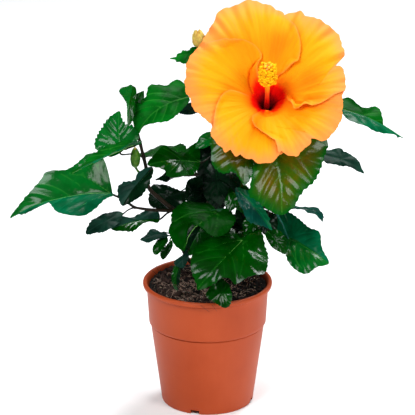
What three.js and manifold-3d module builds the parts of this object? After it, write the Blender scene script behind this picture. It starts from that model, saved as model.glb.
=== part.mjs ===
// A potted hibiscus: a low, branching shrub with one wide-open flower, in a round nursery pot.
// Millimetres, +Z up, the viewer on the -Y side. The origin is on the flat underside of the pot, on its axis.
import * as THREE from "three";
import { mergeVertices } from "three/addons/utils/BufferGeometryUtils.js";
import Module from "manifold-3d";

const wasm = await Module();
wasm.setup();

// Clearance between pieces that carry each other
const GAP = 0.3;
// A cut may leave a stub inside the carrier, up to this many cubic millimetres
const STUB_VOLUME = 25;

// Pot
const POT_HEIGHT = 128;
const RIM_RADIUS = 65;
const RIM_DEPTH = 5;
const BAND_TOP_RADIUS = 61.2;
const BAND_FOOT_RADIUS = 58.9;
const BAND_FOOT_HEIGHT = 85.2;
const WALL_TOP_RADIUS = 57.1;
const WALL_TOP_HEIGHT = 81.9;
const FOOT_RADIUS = 46.2;
const WALL = 1.6;
const FOOT_RING_WIDTH = 3.2;
const CENTRE_DISC_RADIUS = 30;
const CHANNEL_HEIGHT = 5;
const NOTCHES = 4;
const NOTCH_WIDTH = 9;
const NOTCH_HEIGHT = 4.5;
const NOTCH_TURN = -106;
const POT_SEGMENTS = 36;
const DRAIN_RADIUS = 3.5;

// Potting mix
const SOIL_HEIGHT = 120.5;
const SOIL_FLAT_RADIUS = 17;
const SOIL_RELIEF = 1.6;

// Leaves: the half-width follows s^rise * (1 - s)^fall from the blade's base to its tip
const LEAF_THICKNESS = 1.1;
const LEAF_RISE = 0.6;
const LEAF_FALL = 1.05;
const LEAF_PEAK = outlinePower(LEAF_RISE / (LEAF_RISE + LEAF_FALL));
const LEAF_ENDS = [0.01, 0.985];
const STATION_SPACING = 10;
const FEWEST_STATIONS = 4;
const MOST_STATIONS = 8;
const STATION_BUNCHING = 1.2;
const LEAF_TOOTH = 0.045;
const LEAF_ARCH = 0.12;
const LEAF_HEART = 0.12;
const SPINE_STEPS = 24;
const PETIOLE_RADII = [1.38, 1.22, 1.16, 0.95];
const PETIOLE_ARCH = 0.06;
const MIDRIB_END = 0.16;

// Flower: axis, funnel and petals
const BLOOM = new THREE.Vector3(58, -4, 312);
const BLOOM_RISE = 40;
const THROAT_RADIUS = 4.5;
const FUNNEL_DEPTH = 37;
const FUNNEL_WIDTH = 21;
const PETAL_THICKNESS = 1;
const PETAL_LIFT = 1.7;
const PETAL_REACH = 47;
const PETAL_CLAW = 0.74;
const PETAL_SHOULDER = 0.6;
const PETAL_ROUNDING = 0.09;
const PETAL_ROWS = 9;
const PETAL_COLUMNS = 7;
const RUFFLE = 3.4;
const RIM_ROLL = 6;
const RIM_ROLL_START = 56;
const FLOWER_RADIUS = 84;
const PETALS = [
  { name: "petal_top", turn: 99, length: 103, skew: -0.02 },
  { name: "petal_left", turn: 168, length: 83, skew: 0 },
  { name: "petal_lower_left", turn: 243, length: 76, skew: 0.03 },
  { name: "petal_lower_right", turn: 317, length: 80, skew: 0.03 },
  { name: "petal_right", turn: 36, length: 94, skew: 0.06 },
];
const CALYX_TOP = -1.2;
const COLUMN_LENGTH = 58;
const COLUMN_LIFT = 0.3;
const ANTHERS = 16;
const STIGMA_LOBES = 5;

const materials = {
  pot: { color: 0xbe5532, roughness: 0.55, metalness: 0 },
  soil: { color: 0x3b2a20, roughness: 1, metalness: 0 },
  bark: { color: 0x5a4630, roughness: 0.85, metalness: 0 },
  leaf: { color: 0x1f6b1c, roughness: 0.3, metalness: 0 },
  petal: { color: 0xffab28, roughness: 0.6, metalness: 0 },
  column: { color: 0xffb52e, roughness: 0.6, metalness: 0 },
  calyx: { color: 0x6f9a34, roughness: 0.5, metalness: 0 },
};

const vec = (p) => new THREE.Vector3(p[0], p[1], p[2]);
const radians = THREE.MathUtils.degToRad;

// A unit vector from a compass turn about +Z and a rise above the horizontal, in degrees.
function heading(turn, rise) {
  const level = Math.cos(radians(rise));
  return new THREE.Vector3(
    Math.cos(radians(turn)) * level,
    Math.sin(radians(turn)) * level,
    Math.sin(radians(rise)),
  );
}

// A small seeded random source: the same seed always grows the same plant.
function seeded(seed) {
  let state = seed >>> 0;
  return () => {
    state = (state + 0x6d2b79f5) >>> 0;
    let mixed = Math.imul(state ^ (state >>> 15), 1 | state);
    mixed = (mixed + Math.imul(mixed ^ (mixed >>> 7), 61 | mixed)) ^ mixed;
    return ((mixed ^ (mixed >>> 14)) >>> 0) / 4294967296;
  };
}

// Solids: a skin over rings of equal count, closed by a cap at each end.
function loft(rings) {
  const count = rings[0].length;
  const triangles = [];
  const add = (a, b, c) => triangles.push(a.x, a.y, a.z, b.x, b.y, b.z, c.x, c.y, c.z);
  for (let i = 0; i + 1 < rings.length; i++)
    for (let j = 0; j < count; j++) {
      const k = (j + 1) % count;
      add(rings[i][j], rings[i][k], rings[i + 1][k]);
      add(rings[i][j], rings[i + 1][k], rings[i + 1][j]);
    }
  const cap = (ring, flip) => {
    const tri = (a, b, c) => (flip ? add(ring[c], ring[b], ring[a]) : add(ring[a], ring[b], ring[c]));
    for (let i = 0, j = count - 1; j - i > 1; i++, j--) {
      tri(i, j, i + 1);
      if (j - 1 > i + 1) tri(i + 1, j, j - 1);
    }
  };
  cap(rings[0], false);
  cap(rings[rings.length - 1], true);
  return toSolid(
    new THREE.BufferGeometry().setAttribute("position", new THREE.Float32BufferAttribute(triangles, 3)),
  );
}

function toSolid(geometry) {
  const plain = geometry.index ? geometry.toNonIndexed() : geometry;
  plain.deleteAttribute("normal");
  plain.deleteAttribute("uv");
  const merged = mergeVertices(plain, 1e-4);
  const make = (triVerts) =>
    new wasm.Manifold(
      new wasm.Mesh({ numProp: 3, vertProperties: merged.attributes.position.array, triVerts }),
    );
  const triVerts = new Uint32Array(merged.index.array);
  const solid = make(triVerts);
  return solid.volume() > 0 ? solid : make(triVerts.reverse());
}

function toGeometry(solid) {
  const { vertProperties, triVerts, numProp } = solid.getMesh();
  const positions = new Float32Array((vertProperties.length / numProp) * 3);
  for (let i = 0; i * numProp < vertProperties.length; i++)
    positions.set(vertProperties.subarray(i * numProp, i * numProp + 3), i * 3);
  const geometry = new THREE.BufferGeometry();
  geometry.setAttribute("position", new THREE.BufferAttribute(positions, 3));
  geometry.setIndex(new THREE.BufferAttribute(triVerts, 1));
  return geometry;
}

const fuse = (solids) => solids.reduce((whole, solid) => whole.add(solid));

const plant = new THREE.Group();
function place(name, solid, material) {
  const geometry = toGeometry(solid);
  geometry.computeVertexNormals();
  const mesh = new THREE.Mesh(geometry, new THREE.MeshStandardMaterial(materials[material]));
  mesh.name = name;
  plant.add(mesh);
}

// Limbs: a tapering tube through a few points, with one radius for each point.
function limbCurve(limb) {
  return new THREE.CatmullRomCurve3(limb.points.map(vec), false, "centripetal");
}

function limbRadius(limb, u) {
  const at = u * (limb.radii.length - 1);
  const i = Math.min(Math.floor(at), limb.radii.length - 2);
  return THREE.MathUtils.lerp(limb.radii[i], limb.radii[i + 1], at - i);
}

// grow makes the same limb fatter and longer by that much all round, to cut a clearance with.
function limbSolid(limb, grow = 0) {
  const curve = limbCurve(limb);
  const steps = (limb.points.length - 1) * (limb.stepsPerPoint ?? 2);
  const sides = limb.sides ?? 6;
  const rings = [];
  let across = null;
  for (let i = 0; i <= steps; i++) {
    const u = i / steps;
    const centre = curve.getPoint(u);
    const along = curve.getTangent(u);
    if (i === 0) centre.addScaledVector(along, -grow);
    if (i === steps) centre.addScaledVector(along, grow);
    across ??= new THREE.Vector3(1, 0.2, 0.1);
    across.addScaledVector(along, -across.dot(along)).normalize();
    const third = new THREE.Vector3().crossVectors(along, across);
    const radius = limbRadius(limb, u) + grow;
    rings.push(
      Array.from({ length: sides }, (_, j) => {
        const angle = (2 * Math.PI * j) / sides;
        return centre
          .clone()
          .addScaledVector(across, radius * Math.cos(angle))
          .addScaledVector(third, radius * Math.sin(angle));
      }),
    );
  }
  return loft(rings);
}

// What a solid's carriers leave of it, with the clearance between them. The stub inside a carrier goes.
function seat(solid, carriers) {
  const cut = carriers.reduce((rest, carrier) => rest.subtract(limbSolid(carrier, GAP)), solid);
  const bodies = cut.decompose().sort((a, b) => b.volume() - a.volume());
  if (bodies.length > 1 && bodies[1].volume() > STUB_VOLUME) throw new Error("a leaf is cut off its stem");
  return bodies[0];
}

// Leaves
function outlinePower(s) {
  return s ** LEAF_RISE * (1 - s) ** LEAF_FALL;
}

// The midrib as a side view along its chord: its slope falls with the square of the way out, by droop in all.
function spine(droop) {
  const bend = radians(droop);
  const xs = [0];
  const zs = [0];
  for (let i = 0; i < SPINE_STEPS; i++) {
    const u = (i + 0.5) / SPINE_STEPS;
    const slope = bend * (1 / 3 - u * u);
    xs.push(xs[i] + Math.cos(slope));
    zs.push(zs[i] + Math.sin(slope));
  }
  return { bend, xs, zs, turn: Math.atan2(zs[SPINE_STEPS], xs[SPINE_STEPS]) };
}

// A leaf's frame: the chord from blade base to tip, the way its upper face looks, and its side.
function leafFrame(leaf) {
  const chord = leaf.tip.clone().sub(leaf.base);
  const reach = chord.length();
  const along = chord.normalize();
  const up = leaf.face.clone().addScaledVector(along, -leaf.face.dot(along)).normalize();
  return { reach, along, up, side: new THREE.Vector3().crossVectors(up, along), spine: spine(leaf.droop) };
}

// A point of the blade's middle surface and its normal: s from base to tip, t from -1 to 1 across.
function bladePoint(leaf, frame, s, t, halfWidth) {
  const { reach, along, up, side } = frame;
  const { bend, xs, zs, turn } = frame.spine;
  const at = Math.min(s * SPINE_STEPS, SPINE_STEPS - 1e-9);
  const i = Math.floor(at);
  const x = THREE.MathUtils.lerp(xs[i], xs[i + 1], at - i);
  const z = THREE.MathUtils.lerp(zs[i], zs[i + 1], at - i);
  const span = Math.hypot(xs[SPINE_STEPS], zs[SPINE_STEPS]);
  const slope = bend * (1 / 3 - s * s) - turn;
  const forward = along.clone().multiplyScalar(Math.cos(slope)).addScaledVector(up, Math.sin(slope));
  const normal = up.clone().multiplyScalar(Math.cos(slope)).addScaledVector(along, -Math.sin(slope));
  const width = Math.abs(t) * halfWidth;
  const fold = radians(leaf.fold) * (1 - 0.3 * s);
  const back = -LEAF_HEART * reach * Math.abs(t) ** 1.5 * (1 - s) ** 6;
  const point = leaf.base
    .clone()
    .addScaledVector(along, (reach * (x * Math.cos(turn) + z * Math.sin(turn))) / span)
    .addScaledVector(up, (reach * (z * Math.cos(turn) - x * Math.sin(turn))) / span)
    .addScaledVector(side, Math.sign(t) * width * Math.cos(fold))
    .addScaledVector(normal, width * Math.sin(fold) - LEAF_ARCH * halfWidth * t * t)
    .addScaledVector(forward, back);
  return { point, normal };
}

function leafSolid(leaf) {
  const frame = leafFrame(leaf);
  const thickness = Math.max(LEAF_THICKNESS, frame.reach / 90);
  const last = THREE.MathUtils.clamp(
    Math.round(frame.reach / STATION_SPACING),
    FEWEST_STATIONS,
    MOST_STATIONS,
  );
  const rings = Array.from({ length: last + 1 }, (_, i) => {
    const s = THREE.MathUtils.lerp(LEAF_ENDS[0], LEAF_ENDS[1], (i / last) ** STATION_BUNCHING);
    const tooth = i > 2 && i < last ? 1 + LEAF_TOOTH * (-1) ** i : 1;
    const halfWidth = ((leaf.width / 2) * outlinePower(s) * tooth) / LEAF_PEAK;
    const upper = [-1, 0, 1].map((t) => {
      const { point, normal } = bladePoint(leaf, frame, s, t, halfWidth);
      return point.addScaledVector(normal, thickness / 2);
    });
    const lower = [1, 0, -1].map((t) => {
      const { point, normal } = bladePoint(leaf, frame, s, t, halfWidth);
      return point.addScaledVector(normal, -thickness / 2);
    });
    return [...upper, ...lower];
  });
  return loft(rings);
}

// The leaf stalk leaves the stem where it can rise towards the blade, and runs on in the blade as its midrib.
function petioleLimb(leaf, stem) {
  const curve = limbCurve(stem);
  const frame = leafFrame(leaf);
  let best = null;
  for (let i = 1; i <= 20; i++) {
    const u = i / 20;
    const foot = curve.getPoint(u);
    const lead = foot.distanceTo(leaf.base) * 0.35;
    const miss = foot.clone().addScaledVector(curve.getTangent(u), lead).distanceTo(leaf.base);
    if (!best || miss < best.miss) best = { miss, foot };
  }
  const midrib = bladePoint(leaf, frame, MIDRIB_END, 0, 0).point;
  const arch = best.foot.clone().lerp(leaf.base, 0.5);
  arch.z += PETIOLE_ARCH * best.foot.distanceTo(leaf.base);
  const size = THREE.MathUtils.clamp(frame.reach / 60, 0.7, 1.2);
  return {
    points: [best.foot, arch, leaf.base, midrib].map((point) => point.toArray()),
    radii: PETIOLE_RADII.map((radius) => radius * size),
    sides: 3,
    stepsPerPoint: 1,
  };
}

// A shut flower bud, round at its calyx and drawn in to a blunt tip.
function budSolid(base, tip, radius) {
  const along = vec(tip).sub(vec(base));
  const across = new THREE.Vector3(1, 0, 0).addScaledVector(along, -along.x / along.lengthSq()).normalize();
  const third = new THREE.Vector3().crossVectors(along, across).normalize();
  const profile = [[0, 0.35], [0.12, 0.8], [0.4, 1], [0.72, 0.76], [1, 0.22]];
  const sides = 6;
  const rings = profile.map(([u, r]) =>
    Array.from({ length: sides }, (_, j) => {
      const angle = (2 * Math.PI * j) / sides;
      return vec(base)
        .addScaledVector(along, u)
        .addScaledVector(across, radius * r * Math.cos(angle))
        .addScaledVector(third, radius * r * Math.sin(angle));
    }),
  );
  return loft(rings);
}

// Flower: the height of the funnel along the flower's axis at a radius and turn, ruffled towards the rim.
const bloomAxis = heading(-90, BLOOM_RISE);
const bloomRight = new THREE.Vector3(1, 0, 0);
const bloomUp = new THREE.Vector3().crossVectors(bloomAxis, bloomRight);

function funnel(radius, turn) {
  const flare = FUNNEL_DEPTH * (1 - Math.exp(-(radius - THROAT_RADIUS) / FUNNEL_WIDTH));
  const rimward = Math.max(0, radius - RIM_ROLL_START) / (FLOWER_RADIUS - RIM_ROLL_START);
  const waves = Math.sin(7 * turn + 0.6) + 0.7 * Math.sin(11 * turn + 2.1);
  return flare - RIM_ROLL * rimward ** 2 + RUFFLE * waves * (radius / FLOWER_RADIUS) ** 4;
}

function bloomPoint(radius, turn, height) {
  return BLOOM.clone()
    .addScaledVector(bloomAxis, height)
    .addScaledVector(bloomRight, radius * Math.cos(turn))
    .addScaledVector(bloomUp, radius * Math.sin(turn));
}

// How far a petal reaches to each side of its middle line, in degrees, on the way out.
function petalReach(s) {
  const opening = Math.sin((Math.PI / 2) * Math.min(s / 0.55, 1));
  const narrowing = 1.5 * Math.max(0, s - PETAL_SHOULDER) ** 1.4;
  return PETAL_REACH * (THREE.MathUtils.lerp(PETAL_CLAW, 1, opening) - narrowing);
}

function petalSolid(petal) {
  const middle = radians(petal.turn);
  const rings = [];
  for (let i = 0; i < PETAL_ROWS; i++) {
    const s = i / (PETAL_ROWS - 1);
    const radius = THROAT_RADIUS + 1 + (petal.length - THROAT_RADIUS - 1) * s;
    const reach = radians(petalReach(s));
    const upper = [];
    const lower = [];
    for (let j = 0; j < PETAL_COLUMNS; j++) {
      const t = (2 * j) / (PETAL_COLUMNS - 1) - 1;
      const turn = middle + t * reach;
      const r = radius * (1 + s * t * (petal.skew - PETAL_ROUNDING * t));
      const steep = funnel(r + 0.5, turn) - funnel(r - 0.5, turn);
      const half = (PETAL_THICKNESS / 2) * Math.hypot(1, steep);
      const lift = (-PETAL_LIFT * t * reach) / radians(PETAL_REACH);
      const height = funnel(r, turn) + lift;
      upper.push(bloomPoint(r, turn, height + half));
      lower.unshift(bloomPoint(r, turn, height - half));
    }
    rings.push([...upper, ...lower]);
  }
  return loft(rings);
}

// The staminal column, bending up out of the throat, with its anthers near the tip and five stigma lobes.
function columnPoint(u) {
  const rise = COLUMN_LIFT * COLUMN_LENGTH * u * u;
  const height = CALYX_TOP + GAP + COLUMN_LENGTH * u;
  return BLOOM.clone().addScaledVector(bloomAxis, height).addScaledVector(bloomUp, rise);
}

function columnSolid() {
  const tube = limbSolid({
    points: [0, 0.25, 0.5, 0.75, 1].map((u) => columnPoint(u).toArray()),
    radii: [2.6, 2.3, 2, 1.7, 1.2],
    sides: 8,
    stepsPerPoint: 1,
  });
  const parts = [tube];
  const random = seeded(11);
  const along = columnPoint(1).sub(columnPoint(0.9)).normalize();
  const across = bloomRight.clone();
  const third = new THREE.Vector3().crossVectors(along, across);
  const sprig = (from, outward, length, knob) => {
    const points = [0, length - 1.5 * knob, length + knob].map((reach) =>
      from.clone().addScaledVector(outward, reach).toArray(),
    );
    parts.push(limbSolid({ points, radii: [0.6, 0.7, knob], sides: 3, stepsPerPoint: 1 }));
  };
  for (let i = 0; i < ANTHERS; i++) {
    const u = 0.55 + (0.38 * i) / ANTHERS;
    const angle = i * 2.4;
    const outward = across.clone().multiplyScalar(Math.cos(angle)).addScaledVector(third, Math.sin(angle));
    sprig(columnPoint(u), outward.addScaledVector(along, 0.25).normalize(), 5 + 2 * random(), 1.5);
  }
  for (let i = 0; i < STIGMA_LOBES; i++) {
    const angle = (2 * Math.PI * i) / STIGMA_LOBES;
    const outward = across.clone().multiplyScalar(Math.cos(angle)).addScaledVector(third, Math.sin(angle));
    sprig(columnPoint(0.97), outward.multiplyScalar(0.55).add(along).normalize(), 8, 1.7);
  }
  return fuse(parts);
}

// The flower's stalk and its calyx: a cup under the petals, five lobes up its sides and a ring of bracts.
const bloomStalk = {
  points: [[44, 12, 258], [51, 18, 274], [57, 19, 291], [58, 8.6, 301.4], [58, 2.5, 306.5]],
  radii: [2.2, 2, 2, 2.4, 3],
  stepsPerPoint: 1,
};

function calyxSolid() {
  const cup = [[-15, 2.6], [-12, 6], [-6, 7.2], [CALYX_TOP, 6.4]].map(([height, radius]) =>
    Array.from({ length: 8 }, (_, j) => bloomPoint(radius, (Math.PI * j) / 4, height)),
  );
  const parts = [loft(cup)];
  const blades = (count, startTurn, path, halfWidths) => {
    for (let k = 0; k < count; k++) {
      const turn = radians(startTurn) + (2 * Math.PI * k) / count;
      const rings = path.map(([radius, height], i) => {
        const spread = halfWidths[i] / radius;
        const ring = (r) => [bloomPoint(r, turn - spread, height), bloomPoint(r, turn + spread, height)];
        const [a, b] = ring(radius);
        const [c, d] = ring(radius + 0.9);
        return [a, b, d, c];
      });
      parts.push(loft(rings));
    }
  };
  blades(5, 62, [[4.5, -5], [9.5, 0.5], [18, 12.5]], [3, 4.6, 0.8]);
  blades(6, 80, [[3, -12.5], [10, -7], [16, 2]], [1.2, 1.5, 0.4]);
  return fuse(parts);
}

// Where leaves may not grow: points on the open flower, kept clear by every grown leaf.
function bloomSamples() {
  const samples = [];
  for (let radius = 12; radius < FLOWER_RADIUS + 6; radius += 12)
    for (let turn = 0; turn < 360; turn += 15)
      samples.push(bloomPoint(radius, radians(turn), funnel(radius, radians(turn))));
  return samples;
}

// Trunk and boughs, each from its foot to its tip
const trunk = {
  points: [[4, 4, SOIL_HEIGHT + GAP], [4, 4, 126.5], [5, 4, 140], [7, 3, 166]],
  radii: [9.5, 6.4, 5.3, 4.4],
  sides: 8,
};
const boughs = {
  bough_left: {
    points: [[6, 4, 154], [-6, -1, 168], [-21, -5, 184], [-33, -8, 205]],
    radii: [3.4, 3.2, 2.9, 2.5],
  },
  bough_middle: {
    points: [[7, 3, 161], [9, 12, 187], [13, 18, 217], [15, 19, 250]],
    radii: [3.3, 3.1, 2.8, 2.3],
  },
  bough_flowering: {
    points: [[7, 3, 163], [17, 7, 190], [30, 10, 225], [44, 12, 258]],
    radii: [3.4, 3.2, 2.9, 2.4],
  },
  bough_right: {
    points: [[7, 3, 157], [20, -7, 176], [33, -13, 198], [47, -14, 214]],
    radii: [3.2, 3, 2.7, 2.3],
  },
  bough_back: {
    points: [[6, 4, 152], [8, 20, 170], [8, 38, 194], [4, 50, 224]],
    radii: [3.3, 3.1, 2.7, 2.3],
  },
  bough_right_back: {
    points: [[6, 4, 158], [26, 18, 176], [48, 30, 200], [64, 38, 226]],
    radii: [3.2, 3, 2.6, 2.2],
  },
};

// Masses of foliage: the stem that carries each, what it stands on, its shown leaves and its grown ones.
// A shown leaf is blade base, blade tip, width, the turn and rise of its upper face, its fold and its droop.
const masses = {
  foliage_upper_left: {
    carriers: ["bough_left"],
    points: [
      [-33, -8, 205],
      [-46, -10, 217],
      [-58, -13, 231],
      [-60, -13, 249],
      [-66, -13, 277],
      [-72, -11, 303],
    ],
    radii: [2.4, 2.2, 2, 1.8, 1.5, 1.1],
    leaves: [
      [[-71, -30, 281], [-131, -62, 260], 34, 90, 75, 25, 15],
      [[-85, -25, 270], [-85, 5, 303], 48, -105, 25, 15, 10],
      [[-73, -4, 332], [-76, -22, 311], 34, -70, 20, 30, 20],
      [[-54, -25, 255], [-84, -48, 224], 32, -120, 30, 12, 30],
    ],
    buds: [[[-65, -15, 254], [-69, -17, 275], 5]],
  },
  foliage_left: {
    carriers: ["bough_left", "foliage_upper_left"],
    points: [[-33, -8, 205], [-44, -16, 208], [-58, -22, 211], [-72, -24, 214]],
    radii: [2, 1.8, 1.6, 1.2],
    leaves: [
      [[-96, -20, 227], [-192, -45, 209], 72, -95, 63, 32, 55],
      [[-84, -18, 205], [-119, -38, 193], 26, -90, 50, 12, 40],
      [[-47, -6, 195], [-94, -30, 194], 30, -90, 55, 20, 25],
    ],
  },
  foliage_top: {
    carriers: ["bough_middle"],
    points: [[15, 19, 250], [17, 22, 285], [12, 24, 325], [-8, 22, 366]],
    radii: [2.2, 2, 1.7, 1.3],
    leaves: [
      [[-13, 15, 317], [-67, -22, 290], 56, -105, 58, 12, 85],
      [[-4, 20, 366], [-33, 8, 360], 26, -90, 60, 15, 20],
      [[-6, -10, 256], [-57, -38, 264], 46, -90, 58, 12, 45],
    ],
    buds: [[[-8, 22, 366], [-11, 22, 384], 6.5]],
  },
  foliage_under_bloom: {
    carriers: ["bough_flowering", "bloom_stalk"],
    points: [[44, 12, 258], [50, -2, 270], [56, -18, 284]],
    radii: [2, 1.8, 1.4],
    leaves: [
      [[39, -28, 293], [18, -52, 255], 60, -105, 40, 8, 30],
      [[62, -38, 298], [76, -70, 222], 90, -82, 35, 10, 25],
    ],
  },
  foliage_upper_right: {
    carriers: ["bough_flowering", "bloom_stalk", "foliage_under_bloom"],
    points: [[44, 12, 258], [66, 20, 270], [88, 22, 290]],
    radii: [2.1, 1.9, 1.4],
    leaves: [
      [[113, 20, 306], [193, 10, 273], 34, -90, 70, 12, 30],
      [[110, 15, 257], [155, 0, 241], 32, -90, 65, 10, 40],
    ],
  },
  foliage_right: {
    carriers: ["bough_right"],
    points: [[47, -14, 214], [58, -18, 212], [68, -18, 206]],
    radii: [2.2, 1.9, 1.5],
    leaves: [
      [[81, -15, 177], [119, -48, 166], 60, -78, 24, 24, 40],
      [[82, -5, 206], [115, -20, 198], 24, 90, 80, 15, 60],
      [[59, -35, 193], [77, -48, 175], 24, -110, 40, 10, 20],
      [[30, -32, 234], [60, -58, 203], 34, -60, 45, 10, 30],
      [[50, -26, 206], [36, -40, 190], 18, -110, 50, 12, 30],
      [[55, -10, 203], [63, -24, 180], 24, -70, 35, 12, 30],
    ],
  },
  foliage_front: {
    carriers: ["trunk"],
    points: [[5, 4, 141], [8, -10, 152], [13, -20, 176], [16, -26, 202]],
    radii: [2.8, 2.5, 2.2, 1.6],
    leaves: [
      [[9, -38, 213], [-23, -76, 188], 66, -105, 54, 8, 95],
      [[34, -48, 188], [-3, -88, 155], 84, -92, 46, 6, 40],
      [[16, -60, 155], [20, -80, 129], 28, -80, 40, 20, 40],
      [[26, -24, 230], [19, -36, 212], 18, -110, 30, 15, 20],
    ],
  },
  foliage_middle: {
    carriers: ["trunk", "bough_middle", "bough_flowering", "bough_left", "bough_back"],
    points: [[7, 3, 162], [1, -3, 182], [0, -4, 205], [6, -2, 232]],
    radii: [2.6, 2.4, 2, 1.5],
    leaves: [
      [[8, -8, 252], [13, -16, 212], 28, -110, 20, 12, 30],
      [[14, -2, 246], [30, -16, 226], 24, -50, 30, 12, 40],
      [[-3, 4, 232], [-22, -4, 216], 22, -100, 50, 10, 40],
      [[7, 2, 280], [-12, -4, 268], 16, -100, 50, 12, 30],
      [[-18, 6, 243], [-52, -14, 239], 28, -95, -40, 12, -20],
      [[-21, 20, 218], [-58, 10, 200], 36, -110, 40, 10, 30],
    ],
  },
  foliage_low: {
    carriers: ["trunk"],
    points: [[4, 4, 131], [-8, -5, 140], [-22, -10, 158], [-28, -12, 176]],
    radii: [2.2, 2, 1.7, 1.2],
    leaves: [
      [[-41, -14, 184], [-67, -30, 181], 18, -90, 55, 15, 30],
      [[-39, -18, 182], [-53, -34, 168], 22, -100, 40, 15, 30],
      [[-36, -16, 179], [-45, -24, 160], 14, -90, 30, 15, 20],
      [[-18, -30, 172], [-35, -42, 153], 18, -70, 35, 20, 40],
      [[-27, -38, 158], [-30, -46, 133], 14, -110, 30, 20, 30],
    ],
  },
  foliage_back_left: {
    carriers: ["bough_back"],
    points: [[4, 50, 224], [-8, 60, 219], [-24, 68, 215]],
    radii: [2.2, 1.9, 1.3],
    leaves: [],
    grown: { seed: 3, count: 8, first: 60, blade: 66, space: [[-72, 60], [12, 160], [132, 242]] },
  },
  foliage_back_right: {
    carriers: ["bough_right_back"],
    points: [[64, 38, 226], [76, 50, 248], [84, 58, 276]],
    radii: [2.1, 1.8, 1.3],
    leaves: [],
    grown: { seed: 5, count: 8, first: 20, blade: 70, space: [[-20, 128], [8, 160], [140, 330]] },
  },
  foliage_back_top: {
    carriers: ["bough_middle", "foliage_top"],
    points: [[15, 19, 250], [22, 38, 278], [28, 50, 312], [32, 56, 340]],
    radii: [2.1, 1.9, 1.6, 1.2],
    leaves: [],
    grown: { seed: 9, count: 8, first: 80, blade: 62, space: [[-5, 130], [8, 150], [200, 385]] },
  },
};

// The rule for grown leaves: one at each node up the stem, turned on by the golden angle, on stalks that
// rise, with blades that hang out and down. A leaf that would leave the space or come close to another
// leaf, a limb or the flower is turned on further, and skipped if it never fits.
const GOLDEN_ANGLE = 137.5;
const LEAF_CLEARANCE = 9;
const LIMB_CLEARANCE = 7;
const TURNS_TRIED = 7;

function leafSamples(leaf) {
  const frame = leafFrame(leaf);
  const samples = [];
  for (const s of [0.05, 0.2, 0.35, 0.5, 0.65, 0.8, 0.95])
    for (const t of [-0.9, -0.45, 0, 0.45, 0.9]) {
      const halfWidth = ((leaf.width / 2) * outlinePower(s)) / LEAF_PEAK;
      samples.push(bladePoint(leaf, frame, s, t, halfWidth).point);
    }
  return samples;
}

function limbSamples(limb) {
  const curve = limbCurve(limb);
  return Array.from({ length: 13 }, (_, i) => curve.getPoint(i / 12));
}

const closer = (samples, others, distance) =>
  samples.some((a) => others.some((b) => a.distanceToSquared(b) < distance * distance));

function grownLeaves(mass, leafPoints, limbPoints) {
  const { seed, count, first, blade, space } = mass.grown;
  const curve = limbCurve(mass);
  const grown = [];
  for (let i = 0; i < count; i++) {
    const random = seeded(seed * 1000 + i);
    const way = (i + 1) / count;
    const foot = curve.getPoint(way);
    const stalk = 24 + 14 * random();
    const rise = 15 + 30 * random() * way;
    const length = blade * (1.08 - 0.3 * way) * (0.88 + 0.24 * random());
    const width = length * (0.7 + 0.14 * random());
    const pitch = -12 - 34 * random();
    const droop = 30 + 30 * random();
    const fold = 8 + 10 * random();
    const sway = 24 * (random() - 0.5);
    const tilt = 26 * (random() - 0.5);
    for (let turned = 0; turned < TURNS_TRIED; turned++) {
      const turn = first + i * GOLDEN_ANGLE + turned * 26 * (turned % 2 ? 1 : -1);
      const base = foot.clone().addScaledVector(heading(turn, rise), stalk);
      const tip = base.clone().addScaledVector(heading(turn + sway, pitch), length);
      const face = heading(turn + tilt, 70);
      const leaf = { base, tip, width, face, fold, droop };
      const samples = leafSamples(leaf);
      const inside = samples.every((p) =>
        [p.x, p.y, p.z].every((value, axis) => value > space[axis][0] && value < space[axis][1]),
      );
      if (!inside || closer(samples, leafPoints, LEAF_CLEARANCE)) continue;
      if (closer(samples, limbPoints, LIMB_CLEARANCE)) continue;
      grown.push(leaf);
      leafPoints.push(...samples);
      break;
    }
  }
  return grown;
}

const shownLeaf = ([base, tip, width, turn, rise, fold, droop]) => ({
  base: vec(base),
  tip: vec(tip),
  width,
  face: heading(turn, rise),
  fold,
  droop,
});

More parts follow.
